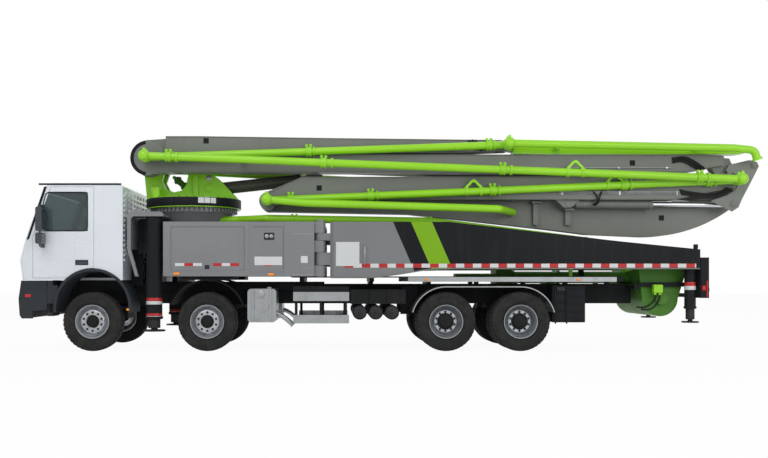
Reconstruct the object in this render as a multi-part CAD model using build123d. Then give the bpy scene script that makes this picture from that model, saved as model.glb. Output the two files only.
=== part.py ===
"""Concrete pump truck: a four-axle carrier with a six-section folding boom, outriggers and a rear hopper.
Millimetres, +Z up, front towards -X, the driver's side at -Y, ground at Z = 0."""
import os
from math import cos, radians, sin, atan2, degrees, hypot, tan

from build123d import *

os.makedirs("parts", exist_ok=True)

# ---- driving dimensions of the whole truck
truck_half_width = 1250.0
joint_gap = 6.0            # between two pieces that move past each other
seat_gap = 0.05            # radial play of a pin or shaft in its hole

# ---- wheels and axles
axle_x = [-5483.0, -3402.0, 932.0, 2282.0]
tyre_radius = 539.0
tyre_width = 300.0
rim_radius = 305.0
twin_gap = 40.0            # between the two tyres of a rear pair
rim_clearance = 0.4
tyre_outer_y = 1235.0      # outside face of every tyre
hub_radius = 120.0
stub_radius = 70.0
kingpin_radius = 45.0
wheel_bolts = 10
front_disc = 70.0          # disc of a steered wheel behind the tyre's outer face
rear_disc = 170.0          # the same on a twin wheel
inner_disc = 120.0         # disc of the inner rim behind its own outer face
hub_length = 200.0         # inner end of a steered wheel's hub, from the tyre's face
hub_length_twin = 560.0    # the same on a twin wheel
kingpin_y = 880.0
knuckle_half = 75.0        # half the height of the beam's eye
beam_eye_radius = 64.0     # round end of the beam, which the fork swings about

# ---- chassis
rail_top = 1130.0
rail_height = 280.0
rail_y = 385.0             # middle of each rail
rail_width = 80.0
frame_front = -6500.0
frame_rear = 4540.0

# ---- cab
cab_front = -6812.0
cab_rear = -4929.0
cab_roof = 3050.0
cab_floor = 1290.0
cab_half_width = 1235.0
cab_wall = 45.0
nose_z = 1656.0            # height of the foremost crease
screen_foot = 2011.0       # lower edge of the windscreen
screen_header = 98.0       # roof above the windscreen
screen_head = cab_roof - screen_header
screen_head_x = -6392.0
screen_foot_x = -6723.0
roof_drop = 60.0
door_front = -6560.0
door_rear = -5449.0
door_low = 1330.0
door_header = 65.0         # roof above the doors
door_high = cab_roof - door_header
door_gap = 6.0
sill = 2181.0              # lower edge of the side window
window_top = 2887.0
window_front = -6330.0
window_rear = -5561.0
bumper_low = 597.0
bumper_mid = 733.0
bumper_top = 1158.0

# ---- superstructure
deck_z = 1361.0
locker_front = -4194.0
locker_rear = -1887.0
locker_top = 2351.0
locker_depth = 420.0       # across the truck
pivot_x = -1350.0          # hinge of a rear outrigger arm
pivot_y = 1090.0
pivot_radius = 62.0
arm_front = -1172.0
arm_rear = 5525.0
arm_outer_y = 1250.0
arm_inner_y = 905.0
arm_low_front = 1330.0
arm_low_rear = 1490.0
arm_top = 2347.0
jack_radius = 144.0        # front jack tube
rear_jack_radius = 100.0
front_jack_x = -4385.0
rear_jack_x = 5408.0

# ---- turret and boom
slew_x = -3832.0
ring_radius = 903.0
gear_low = 2570.0
ring_low = 2660.0
ring_top = 2850.0
lift_pin = (-4450.0, 3480.0)        # X, Z of the pin that carries section 1
cylinder_pin = (-3540.0, 3050.0)    # X, Z of the lift cylinder's base pin
rear_pin = (6500.0, 2900.0)         # sections 1 and 2
front_pin = (-2329.0, 2764.0)       # sections 2 and 3
upper_rear_pin = (6325.0, 3136.0)   # sections 3 and 4
upper_front_pin = (-4560.0, 3560.0)  # sections 4 and 5
tip_pin = (2090.0, 3790.0)          # sections 5 and 6
boom_pin_radius = 60.0
pipe_radius = 70.0


# ---- small makers used throughout
def block(x0, x1, y0, y1, z0, z1):
    """A box from its lowest and highest corners."""
    return Pos((x0 + x1) / 2, (y0 + y1) / 2, (z0 + z1) / 2) * Box(x1 - x0, y1 - y0, z1 - z0)


def side_plate(points, y0, y1):
    """A plate whose outline lies in XZ, between two values of Y."""
    wire = Polyline(*[(x, y1, z) for x, z in points], close=True)
    return extrude(make_face(wire), amount=abs(y1 - y0), dir=(0, -1, 0))


def rod_y(x, z, radius, y0, y1):
    return Pos(x, (y0 + y1) / 2, z) * Rot(90, 0, 0) * Cylinder(radius, abs(y1 - y0))


def rod_z(x, y, radius, z0, z1):
    return Pos(x, y, (z0 + z1) / 2) * Cylinder(radius, z1 - z0)


def rod_x(y, z, radius, x0, x1):
    return Pos((x0 + x1) / 2, y, z) * Rot(0, 90, 0) * Cylinder(radius, x1 - x0)


def rod_between(a, b, radius):
    """A round bar from point a to point b."""
    start, end = Vector(*a), Vector(*b)
    plane = Plane(origin=start, z_dir=end - start)
    return extrude(plane * Circle(radius), amount=(end - start).length)


def bent_pipe(points, bend, radius):
    """A round pipe along straight runs joined by arcs of one bend radius."""
    path = FilletPolyline(*points, radius=bend)
    start = Plane(origin=path @ 0, z_dir=path % 0)
    return sweep(start * Circle(radius), path=path)


def ring_y(x, z, outer, inner, y0, y1):
    return rod_y(x, z, outer, y0, y1) - rod_y(x, z, inner, y0 - 1, y1 + 1)


def mirrored(shape):
    """The same piece on the other side of the truck."""
    return mirror(shape, about=Plane.XZ)


def joined(pieces):
    """One solid out of touching pieces."""
    whole = pieces[0]
    for piece in pieces[1:]:
        whole = whole + piece
    return whole


def keep(name, shape):
    solids = shape.solids()
    body = Compound(children=[Solid(s.wrapped) for s in solids]) if len(solids) > 1 else solids[0]
    export_step(body, f"parts/{name}.step")


# ---- carrier frame: two channel rails, crossmembers, rear crossbeam
def chassis_frame():
    pieces = []
    for side in (-1, 1):
        y = side * rail_y
        rail = block(frame_front, frame_rear, y - rail_width / 2, y + rail_width / 2, rail_top - rail_height, rail_top)
        inner = y - side * 10
        slot = block(frame_front - 1, frame_rear + 1, inner - rail_width / 2, inner + rail_width / 2,
                     rail_top - rail_height + 10, rail_top - 10)
        pieces.append(rail - slot)
    crossmembers = [frame_front + 60, -4450.0, -2500.0, -600.0, 1607.0, 3300.0, frame_rear - 60]
    for x in crossmembers:
        reach = rail_y + rail_width / 2 - 5
        pieces.append(block(x - 40, x + 40, -reach, reach, rail_top - rail_height + 40, rail_top - 40))
    subframe = block(-4700.0, frame_rear - 80, -rail_y - 40, rail_y + 40, rail_top, rail_top + 90)
    opening = block(-2900.0, frame_rear - 200, -rail_y + 40, rail_y - 40, rail_top - 1, rail_top + 91)
    pieces.append(subframe - opening)
    for x in (cab_front + 420, cab_rear - 150):
        for side in (-1, 1):
            pieces.append(block(x - 60, x + 60, side * rail_y - 40, side * rail_y + 40, rail_top, cab_floor))
    return joined(pieces)


# ---- wheels: a turned tyre and a turned rim with its disc and bolts
def turned_y(points):
    """A solid turned about the Y axis from (radius, Y) points."""
    return revolve(make_face(Polyline(*points, close=True)), Axis.Y)


def tyre():
    """A tyre about the Y axis, its middle at the origin."""
    half = tyre_width / 2
    shoulder = tyre_radius - 34
    inner = rim_radius + rim_clearance
    return turned_y([(inner, -half * 0.86), (inner + 60, -half), (shoulder - 70, -half), (shoulder, -half * 0.88),
                     (tyre_radius, -half * 0.7), (tyre_radius, half * 0.7), (shoulder, half * 0.88),
                     (shoulder - 70, half), (inner + 60, half), (inner, half * 0.86)])


def rim_ring(width, disc):
    """A rim's band from Y = 0 to Y = width, with its disc at Y = disc, open towards its own lip."""
    lip, well = rim_radius, rim_radius - 38
    band = turned_y([(lip - 16, 0), (lip, 0), (lip, 20), (well, 46), (well, width - 46), (lip, width - 20),
                     (lip, width), (lip - 16, width), (lip - 16, width - 12), (well - 14, width - 36),
                     (well - 14, 36), (lip - 16, 12)])
    plate = turned_y([(hub_radius - 10, disc - 12), (hub_radius + 62, disc + 12), (well - 7, disc + 12),
                      (well - 7, disc + 28), (hub_radius + 56, disc + 28), (hub_radius - 10, disc + 4)])
    holes = [Pos((well + hub_radius) / 2 * cos(a) + 12 * cos(a), disc + 20, ((well + hub_radius) / 2 + 12) * sin(a))
             * Rot(90, 0, 0) * Cylinder(17, 60)
             for a in [radians(360 / wheel_bolts * i) for i in range(wheel_bolts)]]
    return joined([band, plate - holes])


def wheel_rim(disc, twin):
    """The rims of one left wheel with their hub, bolts and cap, its outer lip at Y = 0."""
    hub_end = hub_length_twin if twin else hub_length
    hub = turned_y([(stub_radius + seat_gap, disc - 20), (hub_radius, disc - 20), (hub_radius, hub_end),
                    (stub_radius + seat_gap, hub_end)])
    cap = turned_y([(0, disc - 62), (hub_radius - 40, disc - 62), (hub_radius - 24, disc - 46),
                    (hub_radius - 20, disc - 18), (0, disc - 18)])
    bolts = [Pos((hub_radius - 16) * cos(a), disc - 24, (hub_radius - 16) * sin(a)) * Rot(90, 0, 0) * Cylinder(9, 24)
             for a in [radians(360 / wheel_bolts * (i + 0.5)) for i in range(wheel_bolts)]]
    pieces = [rim_ring(tyre_width, disc), hub, cap] + bolts
    if twin:
        inner = mirror(rim_ring(tyre_width, tyre_width - inner_disc), about=Plane.XZ)
        pieces.append(Pos(0, 2 * tyre_width + twin_gap, 0) * inner)
    return joined(pieces)


def wheel_nodes():
    rims = {False: wheel_rim(front_disc, False), True: wheel_rim(rear_disc, True)}
    tread = tyre()
    for number, x in enumerate(axle_x, start=1):
        twin = number > 2
        for side, name in ((-1, "left"), (1, "right")):
            centres = [tyre_outer_y - tyre_width / 2]
            if twin:
                centres.append(centres[0] - tyre_width - twin_gap)
            tyres = [Pos(x, side * y, tyre_radius) * tread for y in centres]
            keep(f"tyre_{number}_{name}", Compound(children=tyres) if twin else tyres[0])
            rim = rims[twin] if side < 0 else mirrored(rims[twin])
            keep(f"rim_{number}_{name}", Pos(x, side * tyre_outer_y, tyre_radius) * rim)


# ---- axles: steered beams with kingpins, driven housings, leaf springs
def steered_axle(x):
    y = kingpin_y
    beam = block(x - 50, x + 50, -y + 90, y - 90, tyre_radius - 150, tyre_radius - 50)
    pieces = [beam]
    for side in (-1, 1):
        inner = side * (y - 140)
        pieces.append(block(x - 50, x + 50, min(inner, inner + side * 60), max(inner, inner + side * 60),
                            tyre_radius - 150, tyre_radius + 60))
        low, high = tyre_radius - knuckle_half, tyre_radius + knuckle_half
        end = block(x - 60, x + 60, min(inner, side * y), max(inner, side * y), low, high)
        end += rod_z(x, side * y, beam_eye_radius, low, high)
        pieces.append(end - rod_z(x, side * y, kingpin_radius + seat_gap, 0, 2 * tyre_radius))
    return joined(pieces)


def knuckle(x, side):
    """A steering knuckle: a fork round the beam's end, its kingpin, and the stub the wheel turns on."""
    y = side * kingpin_y
    half = knuckle_half + joint_gap
    pieces = [rod_z(x, y, kingpin_radius, tyre_radius - half - 50, tyre_radius + half + 50)]
    for low in (tyre_radius - half - 60, tyre_radius + half):
        pieces.append(block(x - 55, x + 55, min(y - side * 55, y + side * 90), max(y - side * 55, y + side * 90),
                            low, low + 60))
    web = y + side * 68
    pieces.append(block(x - 55, x + 55, min(web, web + side * 30), max(web, web + side * 30),
                        tyre_radius - half - 60, tyre_radius + half + 60))
    stub_end = side * (tyre_outer_y - front_disc + 18 - joint_gap)
    pieces.append(rod_y(x, tyre_radius, stub_radius, web, stub_end))
    return joined(pieces)


def driven_axle(x):
    stub_end = tyre_outer_y - rear_disc + 18 - joint_gap
    housing = rod_y(x, tyre_radius, stub_radius, -stub_end, stub_end)
    collar = tyre_outer_y - hub_length_twin - joint_gap
    sleeve = rod_y(x, tyre_radius, stub_radius + 25, -collar, collar)
    return joined([housing, sleeve, Pos(x, 0, tyre_radius) * Sphere(200)])


def springs(x, half):
    """Leaf springs of one axle as stacked leaves under each rail, with their seats on the axle."""
    leaves = []
    for side in (-1, 1):
        y = side * rail_y
        for i in range(3):
            reach = half * (1 - 0.25 * i)
            z = rail_top - rail_height - 60 - 22 * i
            leaves.append(block(x - reach, x + reach, y - 45, y + 45, z - 22, z))
        leaves.append(block(x - 55, x + 55, y - 45, y + 45, tyre_radius - 60, rail_top - rail_height - 126))
        for end in (-half + 20, half - 60):
            leaves.append(block(x + end, x + end + 40, y - 38, y + 38, rail_top - rail_height - 61,
                                rail_top - rail_height))
    return leaves


def axle_nodes():
    beams = []
    for number in (1, 2):
        beams.append(joined([steered_axle(axle_x[number - 1])] + springs(axle_x[number - 1], 620.0)))
        for side, name in ((-1, "left"), (1, "right")):
            keep(f"knuckle_{number}_{name}", knuckle(axle_x[number - 1], side))
    for x in axle_x[2:]:
        beams.append(joined([driven_axle(x)] + springs(x, 560.0)))
    keep("axles", Compound(children=beams))


# ---- cab: a hollow shell with door openings, screen opening and wheel arches
arch_centre_z = 800.0
arch_inner = 655.0
arch_outer = 706.0
arch_depth = 690.0         # how far the arch liner runs in from the side
front_arch_x = axle_x[0] + 10


def cab_outline(inset):
    """The cab's side outline, moved in by inset; the bottom edge stays at the floor."""
    return [(cab_rear - inset, cab_floor + inset), (cab_rear - inset, cab_roof - inset - roof_drop),
            (cab_rear - inset - 90, cab_roof - inset), (screen_head_x + 150, cab_roof - inset),
            (screen_head_x + inset * 1.05, screen_head - inset * 0.6), (screen_foot_x + inset * 1.05, screen_foot),
            (cab_front + inset, nose_z), (cab_front + 45 + inset, cab_floor + inset)]


def door_outline(inset):
    return [(door_front + inset, door_low + inset), (door_rear - inset, door_low + inset),
            (door_rear - inset, door_high - inset), (door_front + 330 + inset, door_high - inset),
            (door_front + inset, screen_foot + 60)]


def cab_shell():
    half = cab_half_width
    outer = side_plate(cab_outline(0), -half, half)
    corners = [e for e in outer.edges() if abs(abs(e.center().Y) - half) < 1 and e.center().X < screen_head_x + 60
               and e.center().Z > cab_floor + 50 and e.center().Z < screen_head - 10]
    outer = fillet(corners, 90)
    shell = outer - side_plate(cab_outline(cab_wall), -half + cab_wall, half - cab_wall)
    glass = [(screen_head_x - 40, screen_head - 40), (screen_head_x + 260, screen_head - 120),
             (screen_foot_x + 300, screen_foot + 60), (screen_foot_x - 60, screen_foot + 60)]
    shell -= side_plate(glass, -half + 130, half - 130)
    for side in (-1, 1):
        low, high = sorted((side * (half - cab_wall - 2), side * (half + 2)))
        shell -= side_plate(door_outline(0), low, high)
        low, high = sorted((side * (half - arch_depth - 0.5), side * (half + 2)))
        shell -= rod_y(front_arch_x, arch_centre_z, arch_outer + 0.5, low, high)
    for z in [cab_floor + 350 + 90 * i for i in range(14)]:
        shell += block(cab_rear - 4, cab_rear + 22, -half + 90, half - 90, z, z + 40)
    return shell


def windscreen():
    inset = cab_wall * 0.5
    outline = [(screen_head_x - 11, screen_head - 66), (screen_head_x + 1, screen_head - 68),
               (screen_foot_x + 12, screen_foot + 64), (screen_foot_x, screen_foot + 64)]
    return side_plate([(x + inset, z) for x, z in outline], -cab_half_width + 131, cab_half_width - 131)


def door():
    """The driver's door with its window cut and its outside handle."""
    half = cab_half_width
    leaf = side_plate(door_outline(door_gap), -half, -half + cab_wall)
    window = [(window_front - 170, sill), (window_rear, sill), (window_rear, window_top), (window_front + 20, window_top)]
    leaf -= side_plate(window, -half - 1, -half + cab_wall + 1)
    leaf -= rod_y(front_arch_x, arch_centre_z, arch_outer + door_gap, -half - 1, -half + cab_wall + 1)
    handle = block(door_rear - 300, door_rear - 120, -half - 28, -half - 16, 1585, 1625)
    for x in (door_rear - 295, door_rear - 150):
        handle += block(x, x + 25, -half - 18, -half + 2, 1590, 1620)
    return leaf + handle


def mirror_arm():
    """Two stacked mirror housings on tubular arms bolted to the door."""
    y = -cab_half_width
    pieces = []
    for z0, z1 in ((1940.0, 2140.0), (2170.0, 2600.0)):
        housing = block(-6415, -6300, y - 290, y - 70, z0, z1)
        pieces.append(fillet(housing.edges().filter_by(Axis.Y), 35))
    pieces.append(block(-6380, -6350, y - 200, y - 170, 1900, 2640))
    for z in (1900.0, 2610.0):
        pieces.append(block(-6380, -6350, y - 200, y + 0.0, z, z + 30))
        pieces.append(block(-6420, -6340, y - 12, y, z - 20, z + 50))
    return joined(pieces)


def cab_interior():
    """Two seats on their boxes, the dashboard and the steering wheel on its column."""
    pieces = []
    floor = cab_floor + cab_wall
    for y in (-620.0, 620.0):
        seat = block(-5900, -5400, y - 240, y + 240, floor + 250, floor + 400)
        back = Pos(-5370, y, floor + 700) * Rot(0, 10, 0) * Box(130, 480, 720)
        base = block(-5820, -5480, y - 180, y + 180, arch_centre_z + arch_outer + 0.5, floor + 260)
        pieces.append(joined([seat, back, base]))
    dash = side_plate([(-6560, floor + 480), (-6180, floor + 420), (-6160, floor + 560), (-6330, floor + 700),
                       (-6590, floor + 640)], -cab_half_width + 80, cab_half_width - 80)
    foot = block(-6560, -6400, -300, 300, floor, floor + 500)
    column = rod_between((-6250, -620, floor + 560), (-6060, -620, floor + 730), 30)
    wheel = Pos(-6055, -620, floor + 735) * Rot(0, -42, 0) * Torus(215, 18)
    spoke = Pos(-6055, -620, floor + 735) * Rot(0, -42, 0) * Box(50, 410, 20)
    pieces.append(joined([dash, foot, column, wheel, spoke]))
    return pieces


def front_bumper():
    """The bumper and lower corners of the cab, with the lamp pockets and the tow eye's opening."""
    half = truck_half_width - 5
    outline = [(cab_front + 20, bumper_low + 60), (cab_front + 60, bumper_low), (-6560, bumper_low),
               (-6560, bumper_mid), (-6300, bumper_mid + 20), (-6300, cab_floor - 6), (cab_front + 48, cab_floor - 6),
               (cab_front, bumper_mid + 220)]
    shell = side_plate(outline, -half, half)
    shell -= block(cab_front + 120, -6200, -half + 40, half - 40, bumper_low - 10, cab_floor)
    for side in (-1, 1):
        y = side * (half - 330)
        shell -= block(cab_front - 50, cab_front + 70, y - 190, y + 190, bumper_mid + 60, bumper_mid + 260)
    for z in (1010.0, 1060.0, 1110.0, 1160.0):
        shell -= block(cab_front - 50, cab_front + 90, -520, 520, z, z + 24)
    shell += block(-6560, frame_front, -425, 425, rail_top - rail_height + 60, rail_top - 60)
    shell += block(cab_front + 100, frame_front, -60, 60, rail_top - rail_height + 60, rail_top - 60)
    return shell


def front_arches():
    """Flared liners over the first axle and their stays up to the cab."""
    arches = []
    for side in (-1, 1):
        low, high = sorted((side * (cab_half_width - arch_depth), side * (truck_half_width + 8)))
        arch = ring_y(front_arch_x, arch_centre_z, arch_outer, arch_inner, low, high)
        arch -= block(front_arch_x - 800, front_arch_x + 800, low - 5, high + 5, -200, 705)
        arches.append(arch)
    return arches


def cab_steps():
    """Boarding steps behind the bumper, on both sides."""
    pieces = []
    for side in (-1, 1):
        inner, outer = side * 860, side * (truck_half_width - 12)
        y0, y1 = sorted((inner, outer))
        box = block(-6289, -6196, y0, y1, 640, cab_floor - 12)
        for z in (700.0, 960.0):
            slot = sorted((outer - side * 150, outer + side * 20))
            box -= block(-6292, -6200, slot[0], slot[1], z, z + 200)
        pieces.append(box)
    return pieces


def cab_nodes():
    keep("cab_shell", cab_shell())
    keep("windscreen", windscreen())
    keep("cab_interior", Compound(children=cab_interior()))
    keep("front_bumper", Compound(children=[front_bumper()] + front_arches() + cab_steps()))
    leaf = door() + mirror_arm()
    keep("door_left", leaf)
    keep("door_right", mirrored(leaf))


# ---- front outriggers: diagonal beams in crossed sleeves, each carrying a vertical jack
beam_half = 90.0
beam_height = 260.0
sleeve_wall = 14.0
beam_angle = 20.0          # how far each beam points forward of straight outwards
beam_reach = 1960.0        # from the jack's middle to the beam's inner end
beam_low = {"left": 1480.0, "right": 1800.0}
front_jack_y = 1090.0
front_jack_low = 581.0
front_jack_top = 2436.0
front_leg_radius = 110.0
rear_leg_radius = 78.0
front_foot_low = 360.0
rear_foot_low = 516.0
rear_jack_low = 769.0
shroud_top = 2532.0
sleeve_mouth = 190.0       # from the jack's middle to the sleeve's outer end


def along_beam(side, start, end, half, low, high):
    """A box along an outrigger beam's line; start and end are measured inwards from the jack's middle."""
    y = -front_jack_y if side == "left" else front_jack_y
    turn = beam_angle if side == "left" else -beam_angle
    length = end - start
    inward = 1 if side == "left" else -1
    box = Pos(0, inward * (start + end) / 2, 0) * Box(2 * half, length, high - low)
    return Pos(front_jack_x, y, (low + high) / 2) * Rot(0, 0, -turn) * box


def beam_sleeve(side, extra=0.0):
    low, high = beam_low[side], beam_low[side] + beam_height
    half = beam_half + joint_gap + sleeve_wall + extra
    return along_beam(side, sleeve_mouth, beam_reach + 60, half, low - joint_gap - sleeve_wall - extra,
                      high + joint_gap + sleeve_wall + extra)


def outrigger_base():
    """Crossed sleeves on pads, with posts that carry the slewing pedestal."""
    floor = rail_top + 90
    pieces = []
    for side in ("left", "right"):
        low, high = beam_low[side], beam_low[side] + beam_height
        hollow = along_beam(side, 0, beam_reach + 30, beam_half + joint_gap, low - joint_gap, high + joint_gap)
        pieces.append(beam_sleeve(side) - hollow)
    left_low = beam_low["left"] - joint_gap - sleeve_wall
    left_top = beam_low["left"] + beam_height + joint_gap + sleeve_wall
    right_low = beam_low["right"] - joint_gap - sleeve_wall
    middle = front_jack_x + front_jack_y * tan(radians(beam_angle))
    pieces.append(block(middle - 110, middle + 110, -rail_y, rail_y, floor, left_low))
    pieces.append(block(middle - 60, middle + 60, -90, 90, left_top, right_low))
    pieces.append(block(middle - 620, middle - 330, -300, 300, floor, locker_top))
    pieces.append(block(middle + 330, middle + 640, -300, 300, floor, locker_top))
    top = beam_low["right"] + beam_height + joint_gap + sleeve_wall
    pieces.append(block(middle - 620, middle + 700, -600, 600, top, locker_top))
    return joined(pieces)


def front_shroud():
    """An open arch over each front jack, with a lifting eye on top."""
    frames = []
    y0, y1 = -truck_half_width, -truck_half_width + 60
    outer = [(-4700, 1361), (-4640, 1361), (-4660, 1420), (-4780, 1850), (-4780, 2400), (-4740, 2448),
             (locker_front, 2448), (locker_front, 2500), (-4240, shroud_top), (-4790, shroud_top), (-4846, 2470),
             (-4846, 1860)]
    frame = side_plate(outer, y0, y1)
    frame += block(-4790, locker_front, y0, -620, 2452, 2500)
    eye = side_plate([(-4720, shroud_top - 2), (-4560, shroud_top - 2), (-4600, 2600), (-4680, 2600)], y0, y0 + 40)
    frame += eye - rod_y(-4640, 2560, 20, y0 - 1, y0 + 41)
    frame += block(-4846, -4790, y0, -620, 1860, 2470)
    frames.append(frame)
    frames.append(mirrored(frame))
    return frames


def front_outrigger(side):
    """A sliding beam with the tube of its jack."""
    low, high = beam_low[side], beam_low[side] + beam_height
    y = -front_jack_y if side == "left" else front_jack_y
    tube = rod_z(front_jack_x, y, jack_radius, front_jack_low, front_jack_top)
    beam = along_beam(side, 0, beam_reach, beam_half, low, high)
    bore = rod_z(front_jack_x, y, front_leg_radius + seat_gap, front_jack_low - 1, front_jack_top - 60)
    collar = rod_z(front_jack_x, y, jack_radius + 14, front_jack_low + 10, front_jack_low + 50)
    return tube + beam + collar - bore


def jack_leg(x, y, radius, foot_low, top, foot_radius):
    """A jack's inner leg on its ball-jointed foot plate."""
    leg = rod_z(x, y, radius, foot_low + 60, top)
    neck = rod_z(x, y, radius * 0.55, foot_low + 20, foot_low + 62)
    foot = rod_z(x, y, foot_radius, foot_low, foot_low + 26)
    return leg + neck + foot


# ---- rear outriggers: box arms that swing out about a vertical pin behind the lockers
lug_radius = 95.0
root_lugs = [(1361.0, 1560.0), (1800.0, 2010.0), (2150.0, 2351.0)]
arm_lugs = [(1566.0, 1794.0), (2016.0, 2144.0)]


def hinge_bracket():
    """The fixed half of a rear outrigger's hinge, with its pin."""
    y = -pivot_y
    body = block(locker_rear + 0.5, pivot_x - lug_radius - 15, -truck_half_width, -880, 1361, 2351)
    for low, high in root_lugs:
        lug = block(pivot_x - lug_radius - 20, pivot_x, y - lug_radius, y + lug_radius, low, high)
        body += lug + rod_z(pivot_x, y, lug_radius, low, high)
    body += rod_z(pivot_x, y, pivot_radius, 1340, 2372)
    body += rod_z(pivot_x, y, pivot_radius + 22, 2351, 2390)
    body += block(locker_rear + 0.5, pivot_x - lug_radius - 60, -880, -rail_y, 1361, 1420)
    return body


def rear_arm():
    """A rear outrigger arm with its hinge lugs and the tube of its jack."""
    outline = [(arm_front, arm_low_front), (-357, arm_low_front), (638, 1480), (1100, arm_low_rear),
               (arm_rear, arm_low_rear), (arm_rear, 1850), (5377, 1864), (4106, 1991), (2991, 2119),
               (982, arm_top), (arm_front, arm_top)]
    arm = side_plate(outline, -arm_outer_y, -arm_inner_y)
    corner = Pos(arm_front, -arm_outer_y, (arm_low_front + arm_top) / 2) * Rot(0, 0, 45) * Box(86, 86, 1100)
    arm -= corner
    y = -pivot_y
    for low, high in arm_lugs:
        arm += block(pivot_x, arm_front + 1, y - lug_radius, y + lug_radius, low, high)
        arm += rod_z(pivot_x, y, lug_radius, low, high)
    arm -= rod_z(pivot_x, y, pivot_radius + seat_gap, 1300, 2400)
    jack_y = -(arm_outer_y + arm_inner_y) / 2
    arm += rod_z(rear_jack_x, jack_y, rear_jack_radius, rear_jack_low, arm_low_rear + 1)
    arm += rod_z(rear_jack_x, jack_y, rear_jack_radius + 12, rear_jack_low + 8, rear_jack_low + 44)
    arm -= rod_z(rear_jack_x, jack_y, rear_leg_radius + seat_gap, rear_jack_low - 1, 1800)
    return arm


def outrigger_nodes():
    shroud = front_shroud()
    bracket = hinge_bracket()
    keep("outrigger_base", Compound(children=[outrigger_base(), bracket, mirrored(bracket)] + shroud))
    for side in ("left", "right"):
        keep(f"front_outrigger_{side}", front_outrigger(side))
        y = -front_jack_y if side == "left" else front_jack_y
        keep(f"front_jack_{side}", jack_leg(front_jack_x, y, front_leg_radius, front_foot_low,
                                            front_jack_top - 120, 200))
    arm = rear_arm()
    leg = jack_leg(rear_jack_x, -(arm_outer_y + arm_inner_y) / 2, rear_leg_radius, rear_foot_low, 1740, 150)
    for side, shape in (("left", arm), ("right", mirrored(arm))):
        keep(f"rear_outrigger_{side}", shape)
    for side, shape in (("left", leg), ("right", mirrored(leg))):
        keep(f"rear_jack_{side}", shape)


# ---- side lockers with two door panels each
def side_lockers():
    """Both lockers, with their walkways inboard and room cut for the crossed sleeves."""
    y0, y1 = -truck_half_width, -truck_half_width + locker_depth
    body = block(locker_front, locker_rear, y0, y1, deck_z, locker_top)
    for x0, x1 in ((-4060.0, -2720.0), (-2560.0, -2010.0)):
        outer = block(x0, x1, y0 - 1, y0 + 10, deck_z + 110, locker_top - 90)
        body -= outer - block(x0 + 12, x1 - 12, y0 - 2, y0 + 11, deck_z + 122, locker_top - 102)
    body += block(locker_front + 200, locker_rear, y1, -rail_y, deck_z, deck_z + 30)
    pair = []
    for locker in (body, mirrored(body)):
        for side in ("left", "right"):
            locker = locker - beam_sleeve(side, 10.0)
        pair.append(locker)
    return pair


# ---- slewing pedestal and turret
gear_teeth = 60
cheek_inner = 178.0
cheek_outer = 262.0


def pedestal():
    """A cone on the outrigger base, under the fixed ring of gear teeth."""
    middle = slew_x
    cone = Pos(middle, 0, (locker_top + gear_low) / 2) * Cone(620, 760, gear_low - locker_top)
    rim_band = rod_z(middle, 0, 800, gear_low - 0.5, ring_low - joint_gap)
    tooth = block(790, 838, -17, 17, gear_low + 12, ring_low - joint_gap)
    teeth = [Pos(middle, 0, 0) * Rot(0, 0, 360 / gear_teeth * i) * tooth for i in range(gear_teeth)]
    return joined([cone, rim_band]) + teeth


def cheek(y0, y1):
    """One side plate of the turret: front blade, open arch and rear hump."""
    x, z = lift_pin
    low = ring_top - 1
    outline = [(-4700, low), (-4752, 3385), (x - 130, z - 40), (x - 60, z + 128), (x + 60, z + 128), (x + 130, z - 20),
               (-4450 + 40, 3200), (-4330, 3040), (-4180, 2980), (-4040, 3010), (-3950, 3110), (-3900, 3330),
               (-3790, 3380), (-3520, 3380), (-3300, 3220), (-3060, 2960), (-2960, low)]
    plate = side_plate(outline, y0, y1)
    return plate - rod_y(x, z, boom_pin_radius - 1, y0 - 1, y1 + 1)


def turret():
    ring = rod_z(slew_x, 0, ring_radius, ring_low, ring_top)
    ring -= rod_z(slew_x, 0, 700, ring_low - 1, ring_low + 40)
    pieces = [ring]
    for y0, y1 in ((-cheek_outer, -cheek_inner), (cheek_inner, cheek_outer)):
        pieces.append(cheek(y0, y1))
    pieces.append(block(-4690, -4560, -cheek_inner, cheek_inner, ring_top - 1, 3180))
    for x, z in (lift_pin, cylinder_pin):
        pieces.append(rod_y(x, z, boom_pin_radius, -cheek_outer - 16, cheek_outer + 16))
    pieces.append(block(-3270, -3230, -cheek_inner, cheek_inner, ring_top - 1, 2900))
    motor = rod_z(slew_x - 640, -520, 90, ring_top - 1, ring_top + 190)
    pieces += [motor, mirrored(motor)]
    return joined(pieces)


# ---- lift cylinder: barrel on the turret, rod up to the bracket under section 1
barrel_radius = 118.0
rod_radius = 72.0
eye_radius = 105.0
lift_eye = (-1500.0, 3270.0)
barrel_length = 1800.0
rod_eye_gap = 12.0         # between the rod's eye and the bracket's pin


def lift_cylinder():
    (x0, z0), (x1, z1) = cylinder_pin, lift_eye
    reach = hypot(x1 - x0, z1 - z0)
    slope = degrees(atan2(z1 - z0, x1 - x0))
    eye = rod_y(0, 0, eye_radius, -150, 150)
    barrel = eye + rod_x(0, 0, barrel_radius, 60, barrel_length) + rod_x(0, 0, barrel_radius + 14, barrel_length - 90, barrel_length - 10)
    barrel -= rod_y(0, 0, boom_pin_radius + seat_gap, -151, 151)
    barrel -= rod_x(0, 0, rod_radius + seat_gap, 240, barrel_length + 1)
    bar = rod_x(0, 0, rod_radius, 250, reach - 70) + rod_y(reach, 0, eye_radius - 15, -110, 110)
    room = boom_pin_radius + rod_eye_gap
    bar -= rod_y(reach, 0, room, -111, 111)
    # open on top: the bracket's pin lifts out of the eye at mid travel
    bar -= side_plate([(reach - 0.91 * room, -0.42 * room), (reach - 0.91 * room - 86, -0.42 * room + 184),
                       (reach + room, 184), (reach + room, 0)], -111, 111)
    place = Pos(x0, 0, z0) * Rot(0, -slope, 0)
    return place * barrel, place * bar


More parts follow.
